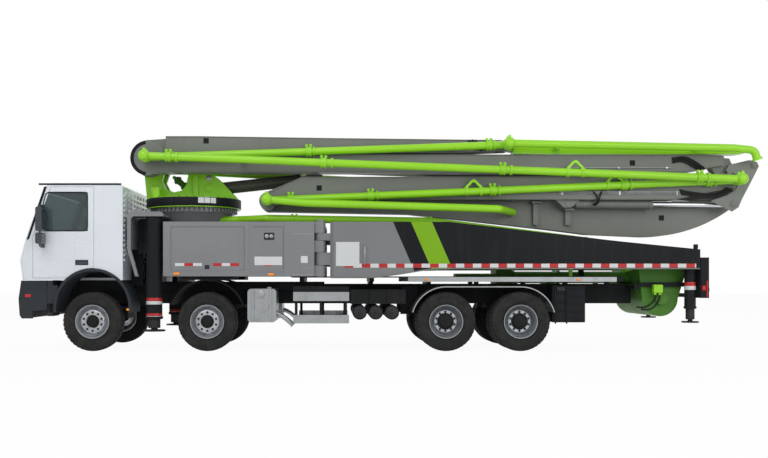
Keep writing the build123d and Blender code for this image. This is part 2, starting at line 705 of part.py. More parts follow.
# ---- boom: six box sections in three lanes side by side
lanes = {1: (-170.0, 170.0), 2: (-480.0, -185.0), 3: (-830.0, -495.0)}
fork_wall = 62.0
tongue_gap = 6.0
hinge_radius = 132.0
end_radius = 320.0
pin_head = 8.0             # how far a boom pin stands out of the outer lane
fork_reach = 130.0         # how far a fork stays open past its pin
bracket_x = 3250.0         # bracket of the folding cylinder under section 3
bracket_low = 2644.0
fold_z = 2724.0
fold_radius = 85.0
barrel_reach = 1605.0      # end of the folding cylinder's barrel, from its bracket
lever_low_pin = (6299.0, 2702.0)
lever_top_pin = (6680.0, 3423.0)
lever_plate = 16.0
lever_gap = 6.0            # between the lever plate and the outer lane
tip_setback = 140.0        # from the tip section's pin to the start of its box


def pin_eye(pin, radius, y0, y1):
    return rod_y(pin[0], pin[1], radius, y0, y1)


def fork_slot(x0, x1, z0, z1):
    """The room a tongue needs between the walls of a fork in the outer lane."""
    y0, y1 = lanes[3]
    return block(x0, x1, y0 + fork_wall, y1 - fork_wall, z0, z1)


def tongue_span():
    y0, y1 = lanes[3]
    return y0 + fork_wall + tongue_gap, y1 - fork_wall - tongue_gap


def boom_1():
    """Section 1: from the turret's pin to the rear pin, with the bracket for the lift cylinder."""
    y0, y1 = lanes[1]
    (xa, za), (xb, zb) = lift_pin, rear_pin
    outline = [(xa, za - 130), (xa + 350, za - 90), (lift_eye[0] + 150, 3390), (500, 3325), (3000, 3085), (xb, zb - 150),
               (xb, zb + 150), (2500, 3560), (-1000, 3850), (-3700, 3850), (xa, za + 140)]
    beam = side_plate(outline, y0, y1)
    beam += pin_eye(lift_pin, 140, y0, y1) + pin_eye(rear_pin, 150, y0, y1)
    beam -= pin_eye(lift_pin, boom_pin_radius + seat_gap, y0 - 1, y1 + 1)
    for side in (-1, 1):
        low, high = sorted((side * 128, side * 160))
        ear = side_plate([(lift_eye[0] - 180, 3420), (lift_eye[0] - 90, 3180), (lift_eye[0] + 90, 3180),
                          (lift_eye[0] + 180, 3395)], low, high)
        beam += ear
    beam += rod_y(lift_eye[0], lift_eye[1], boom_pin_radius, -160, 160)
    beam += pin_eye(rear_pin, boom_pin_radius, lanes[2][0] - pin_head, y1)
    return beam


def boom_2():
    """Section 2: deep belly at the rear, hung beside section 1, carrying the rests of section 3."""
    y0, y1 = lanes[2]
    (xa, za), (xb, zb) = front_pin, rear_pin
    bottom = ThreePointArc((4637, y1, 2119), (5620, y1, 2240), (xb + 60, y1, zb - 140))
    top = Polyline((xb + 60, y1, zb - 140), (xb + 100, y1, zb), (xb - 150, y1, zb + 60), (5600, y1, 2780),
                   (2500, y1, 2790), (xa + 100, y1, za + 170), (xa - 60, y1, za + 170), (xa - 60, y1, za - 170),
                   (300, y1, 2545), (1300, y1, 2440), (2991, y1, 2250), (3700, y1, 2160), (4637, y1, 2119))
    beam = extrude(make_face(Wire([bottom] + top.edges())), amount=y1 - y0, dir=(0, -1, 0))
    beam += pin_eye(front_pin, 175, y0, y1) + pin_eye(rear_pin, 150, y0, y1)
    beam -= pin_eye(rear_pin, boom_pin_radius + seat_gap, y0 - 1, y1 + 1)
    beam += pin_eye(front_pin, boom_pin_radius, lanes[3][0] - pin_head, y1)
    for x, width, top in ((2700.0, 90.0, 2740.0), (bracket_x + 60, 100.0, bracket_low - 40)):
        post = block(x - width / 2, x + width / 2, y0 - 90, y0 + 1, 2330, top)
        beam += post + block(x - 90, x + 90, y0 - 190, y0 + 1, top - 4, top + 30)
    return beam


def boom_3():
    """Section 3: straight box in the outer lane, its rear end a fork."""
    y0, y1 = lanes[3]
    (xa, za), (xb, zb) = front_pin, upper_rear_pin
    outline = [(xa - 40, za - 150), (xa + 500, 2790), (5200, 2783), (xb - 40, zb - 125), (xb - 40, zb + 125),
               (5700, 3211), (-1700, 3205), (xa - 40, za + 160)]
    beam = side_plate(outline, y0, y1)
    beam += pin_eye(front_pin, 165, y0, y1) + pin_eye(upper_rear_pin, hinge_radius, y0, y1)
    beam -= pin_eye(front_pin, boom_pin_radius + seat_gap, y0 - 1, y1 + 1)
    beam -= fork_slot(xb - 420, xb + 300, zb - 160, zb + 400)
    beam += pin_eye(upper_rear_pin, boom_pin_radius, y0 - pin_head, y1)
    return beam + fold_gear()


def fold_gear():
    """What folds section 4 out: a cylinder under section 3 and the lever plate at its rear end."""
    y0, y1 = lanes[3]
    middle = (y0 + y1) / 2
    gear = []
    for y in (middle - 110, middle + 90):
        gear.append(side_plate([(bracket_x - 230, 2790), (bracket_x - 60, bracket_low), (bracket_x + 60, bracket_low),
                                (bracket_x + 230, 2790)], y, y + 20))
    gear.append(rod_y(bracket_x, bracket_low + 60, 45, middle - 125, middle + 125))
    (xl, zl), (xt, zt) = lever_low_pin, lever_top_pin
    lean = (zl - fold_z) / (xl - bracket_x)

    def on_axis(x):
        return (x, middle, fold_z + lean * (x - bracket_x))
    gear.append(rod_between(on_axis(bracket_x), on_axis(bracket_x + 190), 60))
    gear.append(rod_between(on_axis(bracket_x + 170), on_axis(bracket_x + barrel_reach), fold_radius))
    gear.append(rod_between(on_axis(bracket_x + barrel_reach - 70), on_axis(bracket_x + barrel_reach), fold_radius + 10))
    gear.append(rod_between(on_axis(bracket_x + barrel_reach - 10), on_axis(xl), 45))
    outline = [(xl - 416, zl + 60), (xl - 20, zl - 139), (xl + 100, zl - 60), (xl + 166, zl + 96), (xt + 18, zt - 177),
               (xt + 96, zt - 20), (xt + 60, zt + 60), (xt - 80, zt + 96), (xt - 448, zt + 11), (xt - 526, zt - 98),
               (xt - 380, zt - 143), (xt - 273, zt - 203), (xt - 253, zt - 292), (xl + 31, zl + 246), (xl - 99, zl + 166)]
    outer, inner = y0 - lever_gap - lever_plate, y0 - lever_gap
    plate = side_plate(outline, outer, inner)
    plate += rod_y(xl, zl, 48, outer - 22, middle + 60) + rod_y(xt, zt, 48, outer - 22, inner)
    plate += rod_y(xl, zl, 52, middle - 50, middle + 50)
    stay_x, stay_z = upper_rear_pin[0] - 90, upper_rear_pin[1] + 94
    plate += block(stay_x - 45, stay_x + 45, outer, inner, stay_z - 30, stay_z + 120)
    plate += block(stay_x - 40, stay_x + 40, inner - 1, y0 + 1, stay_z - 25, stay_z + 25)
    gear.append(plate)
    return joined(gear)


def boom_4():
    """Section 4: the upper box; a tongue at the rear, a wide rounded fork at the front."""
    y0, y1 = lanes[3]
    (xa, za), (xb, zb) = upper_front_pin, upper_rear_pin
    outline = [(xa, 3290), (xb - 900, 3295), (xb - 190, 3420), (xb - 190, 3600), (xb - 700, 3620), (xa, 3620)]
    beam = side_plate(outline, y0, y1)
    beam += pin_eye(upper_front_pin, end_radius, y0, y1)
    beam -= fork_slot(xa - end_radius - 10, xa + 430, za - 150, za + 500)
    beam -= fork_slot(xa - end_radius - 10, xa + fork_reach, za - end_radius - 10, za + 500)
    t0, t1 = tongue_span()
    tongue = side_plate([(xb - 420, 3420), (xb - 260, zb + 20), (xb - 40, zb - 125), (xb + 100, zb - 60), (xb + 110, zb + 60),
                         (xb - 60, 3560), (xb - 420, 3590)], t0, t1)
    tongue += pin_eye(upper_rear_pin, hinge_radius, t0, t1)
    beam += tongue
    beam -= pin_eye(upper_rear_pin, boom_pin_radius + seat_gap, y0 - 1, y1 + 1)
    beam += pin_eye(upper_front_pin, boom_pin_radius, y0 - pin_head, y1)
    return beam


def boom_5():
    """Section 5: the top box, a tongue at its front pin and a fork at the tip section's pin."""
    y0, y1 = lanes[3]
    (xa, za), (xb, zb) = upper_front_pin, tip_pin
    outline = [(xa + end_radius + 12, 3636), (1200, 3660), (xb, zb - 95), (xb, zb + 95), (-1200, 3925), (-3600, 3960),
               (xa + end_radius + 12, 3960)]
    beam = side_plate(outline, y0, y1)
    beam += pin_eye(tip_pin, 95, y0, y1)
    beam -= fork_slot(xb - 180, xb + 200, zb - 200, zb + 200)
    t0, t1 = tongue_span()
    tongue = side_plate([(xa, za - 120), (xa + end_radius + 40, 3650), (xa + end_radius + 40, 3930), (xa - 60, 3900),
                         (xa - 110, za + 40)], t0, t1)
    beam += tongue + pin_eye(upper_front_pin, hinge_radius - 12, t0, t1)
    beam -= pin_eye(upper_front_pin, boom_pin_radius + seat_gap, y0 - 1, y1 + 1)
    beam += pin_eye(tip_pin, 45, y0 - pin_head, y1)
    return beam


def boom_6():
    """Section 6: the slim tapering tip section with its pipe and the outlet bend."""
    y0, y1 = lanes[3]
    (xa, za) = tip_pin
    outline = [(xa + tip_setback, za - 150), (xa + 1500, za - 170), (6420, 3640), (6560, 3660), (6560, 3720),
               (6300, 3745), (xa + tip_setback, za + 85)]
    beam = side_plate(outline, y0 + 30, y1 - 30)
    t0, t1 = tongue_span()
    root = xa + tip_setback + 15
    tongue = side_plate([(xa, za - 80), (root, za - 100), (root, za + 80), (xa, za + 80)], t0, t1)
    beam += tongue + pin_eye(tip_pin, 84, t0, t1)
    beam -= pin_eye(tip_pin, 45 + seat_gap, y0 - 1, y1 + 1)
    return beam


# ---- delivery pipes: each runs from hinge to hinge, in one of two planes so that they swing past each other
near_plane = -930.0
far_plane = -1125.0
swivel_radius = 88.0
clamp_radius = 92.0
pipe_bend = 190.0


def swivel(pin, y0, y1):
    return rod_y(pin[0], pin[1], swivel_radius, y0, y1)


def swivel_inner(pin):
    """The swivel half that stands on the boom's side, in the near plane."""
    return swivel(pin, lanes[3][0] - 24, near_plane - swivel_radius)


def swivel_outer(pin):
    """The half that turns outside it, in the far plane."""
    return swivel(pin, near_plane - swivel_radius - joint_gap, far_plane - swivel_radius)


def straight_pipe(a, b, y, clamps):
    """A pipe between two hinges in one plane, with clamp collars at shares of its length."""
    pipe = rod_between((a[0], y, a[1]), (b[0], y, b[1]), pipe_radius)
    for share in clamps:
        for shift in (0.0, 0.012):
            t = share + shift
            start = [a[k] + (b[k] - a[k]) * t for k in (0, 1)]
            end = [a[k] + (b[k] - a[k]) * (t + 0.004) for k in (0, 1)]
            pipe += rod_between((start[0], y, start[1]), (end[0], y, end[1]), clamp_radius)
    return pipe


def pipe_stay(x, a, b, y, face):
    """A bracket from the boom's side face out to a pipe that runs from a to b."""
    z = a[1] + (b[1] - a[1]) * (x - a[0]) / (b[0] - a[0])
    return block(x - 40, x + 40, y, face, z - 22, z + 22)


def pipe_2():
    """Swings with section 2: from the front pin back beneath section 3 into section 2's side."""
    x, z = front_pin
    run = bent_pipe([(x, far_plane, z), (x + 700, far_plane, 2700), (1900, far_plane, 2590), (2260, -620, 2565),
                     (2260, lanes[2][0], 2565)], 100, pipe_radius)
    return run + swivel_outer(front_pin)


def pipe_3():
    run = straight_pipe(front_pin, upper_rear_pin, near_plane, (0.22, 0.48, 0.76, 0.94))
    for x in (600.0, 4200.0):
        run += pipe_stay(x, front_pin, upper_rear_pin, near_plane, lanes[3][0])
    return run + swivel_inner(front_pin) + swivel_inner(upper_rear_pin)


def pipe_4():
    run = straight_pipe(upper_front_pin, upper_rear_pin, far_plane, (0.04, 0.3, 0.6, 0.93))
    for x in (-2800.0, 1500.0):
        run += pipe_stay(x, upper_front_pin, upper_rear_pin, far_plane, lanes[3][0])
    return run + swivel_outer(upper_front_pin) + swivel_outer(upper_rear_pin)


def pipe_5():
    run = straight_pipe(upper_front_pin, tip_pin, near_plane, (0.06, 0.45, 0.95))
    for x in (-1700.0, 400.0):
        run += pipe_stay(x, upper_front_pin, tip_pin, near_plane, lanes[3][0])
    return run + swivel_inner(upper_front_pin) + swivel_inner(tip_pin)


def tip_pipe():
    """The pipe of the tip section, in the far plane, ending in a down-turned outlet."""
    x, z = tip_pin
    run = bent_pipe([(x, far_plane, z), (6200, far_plane, 3700), (6560, far_plane, 3660), (6620, far_plane, 3480)],
                    120, pipe_radius)
    for stay in (x + 900, x + 3500):
        run += block(stay - 40, stay + 40, far_plane, lanes[3][0] + 30, 3690, 3750)
    outlet = Plane(origin=(6620, far_plane, 3480), z_dir=(60, 0, -180))
    collar = extrude(outlet * Circle(clamp_radius), amount=-40)
    return run + collar + swivel_outer(tip_pin)


def pipe_1():
    """Section 1's pipe on the truck's right, from the turret's pin to the rear pin."""
    y = cheek_outer + 118
    run = straight_pipe(lift_pin, rear_pin, y, (0.2, 0.5, 0.8))
    for x, z in ((-1500.0, 3340.0), (3500.0, 3065.0)):
        run += block(x - 40, x + 40, lanes[1][1], y, z - 20, z + 40)
    return run


def deck_pipe():
    """The fixed pipe from the pump along the left side of the deck into the pedestal."""
    y = -780.0
    run = bent_pipe([(4450, -300, 1500), (4450, y, 1560), (4150, y, 1950), (700, y, 2388), (-2350, y, 2440),
                     (-2900, -420, 2440), (-3400, -280, 2440)], 90, pipe_radius)
    for x, z in ((3300.0, 2040.0), (-400.0, 2390.0)):
        run += block(x - 30, x + 30, y - 30, y + 30, deck_z, z)
    for x in (-1900.0, 600.0):
        z = 2432 if x < -1000 else 2388
        run += rod_x(y, z, clamp_radius, x, x + 40) + rod_x(y, z, clamp_radius, x + 80, x + 120)
    return run


# ---- deck, rails, mudguards and what hangs from the frame
def deck():
    """The floor between the outriggers, on its cross bearers, and the rest under section 2."""
    y = 870.0
    floor = block(-1900, frame_rear - 300, -y, y, deck_z - 20, deck_z)
    floor -= block(1150, frame_rear, -330, 330, deck_z - 120, deck_z + 1)
    for x in (-1700.0, -400.0, 700.0, 1607.0, 2500.0, 3300.0, 4100.0):
        reach = truck_half_width - 60 if x > 240 else y
        inner = 330 if x > 1150 else 0
        for side in (-1, 1):
            y0, y1 = sorted((side * inner, side * reach))
            floor += block(x - 40, x + 40, y0, y1, deck_z - 96, deck_z - 19)
            y0, y1 = sorted((side * inner, side * (rail_y + 40)))
            floor += block(x - 40, x + 40, y0, y1, rail_top + 90, deck_z - 95)
    return floor


def boom_rest():
    y0, y1 = lanes[2]
    rest = block(3560, 3640, y0 + 20, y0 + 140, deck_z, 2110)
    rest += block(3500, 3700, y0, y1, 2060, 2112)
    return rest


def side_rail():
    """The bright rail under a rear outrigger arm, and the mudguard arcs of the driven wheels."""
    y = -truck_half_width
    rail = block(240, 4014, y, y + 60, 1263, 1348)
    for x in (axle_x[2], axle_x[3]):
        ring = ring_y(x, tyre_radius, 640, 622, y + 8, -600)
        front = x == axle_x[2]
        keep_box = block(x - 700 if front else x, x if front else x + 700, y, -590, tyre_radius + 170, 1270)
        rail += ring & keep_box
    rail += block(axle_x[2], axle_x[3], y + 8, -600, tyre_radius + 622, tyre_radius + 640)
    return rail


def second_arch():
    """Plain black mudguards over the second axle."""
    x = axle_x[1]
    ring = ring_y(x, tyre_radius + 60, 706, 688, -truck_half_width + 6, -560)
    ring &= block(x - 720, x + 720, -truck_half_width, -550, tyre_radius + 300, 1400)
    return ring + block(x - 500, x + 500, -truck_half_width + 60, -560, 1295, deck_z)


def bright_gear():
    """The fuel tank with its caps and the boarding steps with their treads, on the left and mirrored."""
    y = -truck_half_width + 20
    tank = block(-2669, -2149, y, -480, 527, 1135)
    tank = fillet(tank.edges().filter_by(Axis.Y), 70)
    tank += rod_y(-2409, 830, 120, y - 12, y + 2)
    tank += rod_z(-2300, -900, 60, 1130, 1165)
    pieces = [tank]
    for z0, z1 in ((914.0, 1077.0), (508.0, 660.0)):
        pieces.append(block(-1841, -828, y, y + 40, z0, z1) + block(-1841, -828, y + 39, y + 260, z0 + 20, z0 + 45))
    return pieces


def dark_gear():
    """Step hangers, air tanks, battery boxes, the frame's brackets and the rear underbody."""
    y = -truck_half_width + 20
    pieces = []
    for x in (-1790.0, -1340.0, -890.0):
        pieces.append(block(x - 25, x + 25, y + 42, y + 92, 553, 934))
    hangers = joined([block(-1841, -828, y + 41, y + 90, 1077, 1180)]
                     + [block(x - 30, x + 30, y + 60, -rail_y - 40, 1100, 1160) for x in (-1790.0, -890.0)])
    pieces.append(hangers)
    for x in (-636.0, -345.0, -50.0):
        tank = rod_y(x, 706, 132, y + 30, -480)
        pieces.append(tank)
    boxes = block(-800, 200, y + 40, -430, 860, 1120)
    for x in (-470.0, -150.0):
        boxes -= block(x - 8, x + 8, y + 39, y + 52, 870, 1110)
    pieces.append(boxes)
    return pieces


def engine():
    return block(-6250, -5050, -320, 320, 560, 1125)


# ---- pump: two delivery cylinders, water box, hopper with its agitator, tail frame
hopper_front = 4560.0
hopper_rear = 5480.0
hopper_top = 1560.0
hopper_half = 800.0
hopper_wall = 16.0
trough_radius = 330.0
trough_z = 950.0
pump_z = 1345.0
tail_front = 5540.0
tail_rear = 5688.0


def hopper_form(inset):
    """The hopper's outside or inside: a flared mouth over a round trough along Y."""
    x0, x1, half = hopper_front + inset, hopper_rear - inset, hopper_half - inset
    middle = (hopper_front + hopper_rear) / 2 - 60
    flare = side_plate([(x0, hopper_top), (middle - trough_radius + inset, trough_z),
                        (middle + trough_radius - inset, trough_z), (x1, hopper_top)], -half, half)
    return flare + rod_y(middle, trough_z, trough_radius - inset, -half, half)


def hopper():
    """An open hopper with a grate frame, side bearings and the outlet elbow."""
    shell = hopper_form(0) - hopper_form(hopper_wall)
    shell -= block(hopper_front + hopper_wall, hopper_rear - hopper_wall, -hopper_half + hopper_wall,
                   hopper_half - hopper_wall, hopper_top - 5, hopper_top + 5)
    middle = (hopper_front + hopper_rear) / 2 - 60
    shell += rod_y(middle, trough_z, 34, -hopper_half, hopper_half)
    for i in range(5):
        y = -520.0 + 260 * i
        shell += Pos(middle, y, trough_z) * Rot(0, 36 * i, 0) * Box(36, 80, 500)
    for side in (-1, 1):
        y0, y1 = sorted((side * hopper_half, side * (hopper_half + 90)))
        shell += rod_y(middle, trough_z, 110, y0, y1)
        y0, y1 = sorted((side * 200, side * 300))
        shell += block(frame_rear, hopper_front + 46, y0, y1, rail_top + 20, rail_top + 90)
    for i in range(7):
        y = -hopper_half + 100 * (i + 1)
        shell += block(hopper_front + 8, hopper_rear - 8, y - 6, y + 6, hopper_top - 60, hopper_top - 20)
    return shell


def pump():
    """Two delivery cylinders side by side with flanges, the water box and the drive cylinders."""
    pieces = []
    for y in (-150.0, 150.0):
        pieces.append(rod_x(y, pump_z, 115, 2300, hopper_front + 120))
        pieces.append(rod_x(y, pump_z, 75, 1250, 2010))
        for x in (2330.0, 3200.0, hopper_front - 60):
            pieces.append(rod_x(y, pump_z, 140, x, x + 40))
    pieces.append(block(2000, 2310, -300, 300, pump_z - 150, pump_z + 190))
    for x in (2100.0, 3000.0):
        pieces.append(block(x, x + 80, -rail_y, rail_y, rail_top + 90, pump_z - 60))
    return joined(pieces) - hopper_form(0)


def tail_frame():
    """The crossbeam behind the frame, two side beams past the hopper, and the lamp panels at the back."""
    pieces = [block(frame_rear - 80, frame_rear, -870, 870, rail_top, rail_top + 70)]
    for side in (-1, 1):
        y0, y1 = sorted((side * 815, side * 870))
        pieces.append(block(frame_rear, tail_front, y0, y1, 1170, 1250))
        y0, y1 = sorted((side * 815, side * (truck_half_width - 10)))
        pieces.append(block(tail_front, tail_rear, y0, y1, 968, 1703))
    pieces.append(block(tail_front + 30, tail_rear - 30, -815, 815, 968, 1040))
    return pieces


def build():
    wheel_nodes()
    axle_nodes()
    cab_nodes()
    outrigger_nodes()
    keep("chassis_frame", chassis_frame())
    keep("side_lockers", Compound(children=side_lockers()))
    keep("pedestal", pedestal())
    keep("turret", turret())
    barrel, bar = lift_cylinder()
    keep("lift_barrel", barrel)
    keep("lift_rod", bar)
    sections = [boom_1(), boom_2(), boom_3(), boom_4(), boom_5(), boom_6() + tip_pipe()]
    for number, section in enumerate(sections, start=1):
        keep(f"boom_section_{number}", section)
    for number, pipe in enumerate((pipe_1(), pipe_2(), pipe_3(), pipe_4(), pipe_5()), start=1):
        keep(f"boom_pipe_{number}", pipe)
    keep("deck_pipe", deck_pipe() - pedestal())
    keep("deck", deck() + boom_rest())
    both_sides("bright_gear", [side_rail()] + bright_gear())
    both_sides("dark_gear", [second_arch()] + dark_gear(), [engine()])
    keep("hopper", hopper())
    keep("pump", pump())
    keep("tail_frame", Compound(children=tail_frame()))


def both_sides(name, pieces, middle=()):
    """Keeps left pieces, their mirrored copies and any middle pieces as one node."""
    keep(name, Compound(children=list(pieces) + [mirrored(p) for p in pieces] + list(middle)))


build()
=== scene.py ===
import math
import bpy
import bmesh
from mathutils import Matrix, Vector


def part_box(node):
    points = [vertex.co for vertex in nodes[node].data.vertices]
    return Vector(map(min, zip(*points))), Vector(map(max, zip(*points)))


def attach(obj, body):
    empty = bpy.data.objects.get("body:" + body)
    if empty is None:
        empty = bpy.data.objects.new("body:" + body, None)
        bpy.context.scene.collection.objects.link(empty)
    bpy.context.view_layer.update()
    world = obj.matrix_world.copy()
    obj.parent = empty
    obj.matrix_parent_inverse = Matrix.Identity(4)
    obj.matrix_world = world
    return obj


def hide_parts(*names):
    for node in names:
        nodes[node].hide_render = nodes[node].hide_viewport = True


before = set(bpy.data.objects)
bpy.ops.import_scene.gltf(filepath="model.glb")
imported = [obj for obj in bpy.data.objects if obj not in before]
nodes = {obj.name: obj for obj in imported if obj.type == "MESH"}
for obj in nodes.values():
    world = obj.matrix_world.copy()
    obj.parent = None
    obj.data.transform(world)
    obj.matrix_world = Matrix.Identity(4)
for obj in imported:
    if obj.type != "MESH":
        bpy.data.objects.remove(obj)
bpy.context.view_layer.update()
sides = (("left", -1), ("right", 1))


# small helpers

def screenColour(red, green, blue):
    # a colour as a paint chart gives it, 0-255, turned into the renderer's own scale
    def one(v):
        v = v / 255
        return v / 12.92 if v <= 0.04045 else ((v + 0.055) / 1.055) ** 2.4
    return (one(red), one(green), one(blue), 1.0)


def deselectAll():
    if bpy.context.object is not None and bpy.context.object.mode != "OBJECT":
        bpy.ops.object.mode_set(mode="OBJECT")
    bpy.ops.object.select_all(action="DESELECT")


def choose(piece):
    deselectAll()
    piece.select_set(True)
    bpy.context.view_layer.objects.active = piece


def settle(piece):
    # puts the piece's place into its mesh and leaves the object at the origin
    choose(piece)
    bpy.ops.object.transform_apply(location=True, rotation=True, scale=True)
    return piece


def applyAll(piece):
    choose(piece)
    for modifier in list(piece.modifiers):
        bpy.ops.object.modifier_apply(modifier=modifier.name)
    return piece


def bevelled(piece, width, segments=2, angle=35):
    bevel = piece.modifiers.new("softEdge", "BEVEL")
    bevel.width = width
    bevel.segments = segments
    bevel.limit_method = "ANGLE"
    bevel.angle_limit = math.radians(angle)
    return applyAll(piece)


def smoothed(piece, angle=35):
    choose(piece)
    bpy.ops.object.shade_smooth_by_angle(angle=math.radians(angle))
    return piece


def merged(name, parts):
    deselectAll()
    for part in parts:
        part.select_set(True)
    bpy.context.view_layer.objects.active = parts[0]
    if len(parts) > 1:
        bpy.ops.object.join()
    parts[0].name = name
    return settle(parts[0])


def outwards(piece):
    # faces of a spun or mirrored shape are turned to point out, once its doubles are merged
    choose(piece)
    bpy.ops.object.mode_set(mode="EDIT")
    bpy.ops.mesh.select_all(action="SELECT")
    bpy.ops.mesh.remove_doubles(threshold=0.0002)
    bpy.ops.mesh.normals_make_consistent(inside=False)
    bpy.ops.object.mode_set(mode="OBJECT")
    return piece


def finished(piece, kind, body):
    piece.data.materials.clear()
    piece.data.materials.append(finish[kind])
    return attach(piece, body)


def copyOf(piece, name, matrix):
    # its own mesh, moved by the matrix; a mirrored copy gets its faces turned out again
    twin = piece.copy()
    twin.data = piece.data.copy()
    twin.name = name
    bpy.context.scene.collection.objects.link(twin)
    twin.parent = None
    twin.matrix_world = Matrix.Identity(4)
    twin.data.transform(matrix)
    if matrix.determinant() < 0:
        twin.data.flip_normals()
    return twin


acrossTruck = Matrix.Scale(-1, 4, Vector((0, 1, 0)))


def slab(name, size, place, edge=0.004, segments=2):
    # a plate or box with its edges rounded off
    deselectAll()
    bpy.ops.mesh.primitive_cube_add(size=1, location=place)
    piece = bpy.context.object
    piece.name = name
    piece.scale = size
    settle(piece)
    if edge > 0:
        bevelled(piece, edge, segments)
    return piece


def disc(name, radius, depth, place, direction, sidesCount=24, edge=0.003):
    # a short round boss whose rim is rounded off
    deselectAll()
    turn = Vector((0, 0, 1)).rotation_difference(Vector(direction)).to_euler()
    bpy.ops.mesh.primitive_cylinder_add(vertices=sidesCount, radius=radius, depth=depth,
                                        location=place, rotation=turn)
    piece = bpy.context.object
    piece.name = name
    settle(piece)
    if edge > 0:
        bevelled(piece, edge, 2, 40)
    return smoothed(piece, 40)


def prism(name, outline, yLow, yHigh, edge=0.004, segments=2):
    # a side-view outline (x, z) pulled out across the truck
    deselectAll()
    bpy.ops.mesh.primitive_plane_add(size=1)
    piece = bpy.context.object
    piece.name = name
    form = bmesh.new()
    form.faces.new([form.verts.new((x, yLow, z)) for x, z in outline])
    form.to_mesh(piece.data)
    form.free()
    bpy.ops.object.mode_set(mode="EDIT")
    bpy.ops.mesh.select_all(action="SELECT")
    bpy.ops.mesh.extrude_region_move(TRANSFORM_OT_translate={"value": (0, yHigh - yLow, 0)})
    bpy.ops.mesh.select_all(action="SELECT")
    bpy.ops.mesh.normals_make_consistent(inside=False)
    bpy.ops.object.mode_set(mode="OBJECT")
    if edge > 0:
        bevelled(piece, edge, segments)
    return piece


def tube(name, points, radius, sidesCount=10, smooth=True):
    # a pipe, hose or rod along its points
    line = bpy.data.curves.new(name, "CURVE")
    line.dimensions = "3D"
    line.bevel_depth = radius
    line.bevel_resolution = max(1, sidesCount // 4)
    line.use_fill_caps = True
    line.resolution_u = 6
    kind = "BEZIER" if smooth else "POLY"
    spline = line.splines.new(kind)
    if smooth:
        spline.bezier_points.add(len(points) - 1)
        for knot, point in zip(spline.bezier_points, points):
            knot.co = point
            knot.handle_left_type = knot.handle_right_type = "AUTO"
    else:
        spline.points.add(len(points) - 1)
        for knot, point in zip(spline.points, points):
            knot.co = (*point, 1)
    holder = bpy.data.objects.new(name, line)
    bpy.context.scene.collection.objects.link(holder)
    choose(holder)
    bpy.ops.object.convert(target="MESH")
    return smoothed(bpy.context.object, 50)


print("frame loaded:", len(nodes), "nodes")


# shader helpers and the two shared groups

def setValues(shader, values):
    for label, value in values.items():
        shader.inputs[label].default_value = value


def wire(tree, value, socket):
    # a number or a colour is set on the socket, anything else is linked to it
    if isinstance(value, (int, float, tuple)):
        socket.default_value = value
    else:
        tree.links.new(value, socket)


def objectPlace(tree):
    return tree.nodes.new("ShaderNodeTexCoord").outputs["Object"]


def objectAxes(tree):
    split = tree.nodes.new("ShaderNodeSeparateXYZ")
    wire(tree, objectPlace(tree), split.inputs[0])
    return split.outputs


def startGroup(name, inputs):
    group = bpy.data.node_groups.new(name, "ShaderNodeTree")
    for label, value in inputs.items():
        kind = "NodeSocketColor" if isinstance(value, tuple) else "NodeSocketFloat"
        group.interface.new_socket(label, in_out="INPUT", socket_type=kind).default_value = value
    for label, kind in (("Colour", "Color"), ("Roughness", "Float"), ("Normal", "Vector")):
        group.interface.new_socket(label, in_out="OUTPUT", socket_type="NodeSocket" + kind)
    return group, group.nodes.new("NodeGroupInput").outputs, group.nodes.new("NodeGroupOutput").inputs


def mathNode(tree, operation, first, second=None, clamp=False):
    node = tree.nodes.new("ShaderNodeMath")
    node.operation = operation
    node.use_clamp = clamp
    wire(tree, first, node.inputs[0])
    if second is not None:
        wire(tree, second, node.inputs[1])
    return node.outputs[0]


def noiseNode(tree, vector, scale, detail=3.0, rough=0.55, stretch=None):
    if stretch is not None:
        mapping = tree.nodes.new("ShaderNodeMapping")
        mapping.inputs["Scale"].default_value = stretch
        wire(tree, vector, mapping.inputs["Vector"])
        vector = mapping.outputs["Vector"]
    node = tree.nodes.new("ShaderNodeTexNoise")
    setValues(node, {"Detail": detail, "Roughness": rough})
    wire(tree, vector, node.inputs["Vector"])
    wire(tree, scale, node.inputs["Scale"])
    return node.outputs["Fac"]


def rangeNode(tree, value, low, high, toLow, toHigh):
    node = tree.nodes.new("ShaderNodeMapRange")
    setValues(node, {"From Min": low, "From Max": high, "To Min": toLow, "To Max": toHigh})
    wire(tree, value, node.inputs["Value"])
    return node.outputs["Result"]


def mixColour(tree, factor, first, second, mode="MIX"):
    node = tree.nodes.new("ShaderNodeMix")
    node.data_type = "RGBA"
    node.blend_type = mode
    for place, value in ((0, factor), (6, first), (7, second)):
        wire(tree, value, node.inputs[place])
    return node.outputs[2]


def bumped(group, height, strength, distance, leave):
    bump = group.nodes.new("ShaderNodeBump")
    bump.inputs["Distance"].default_value = distance
    wire(group, height, bump.inputs["Height"])
    wire(group, strength, bump.inputs["Strength"])
    wire(group, bump.outputs["Normal"], leave["Normal"])


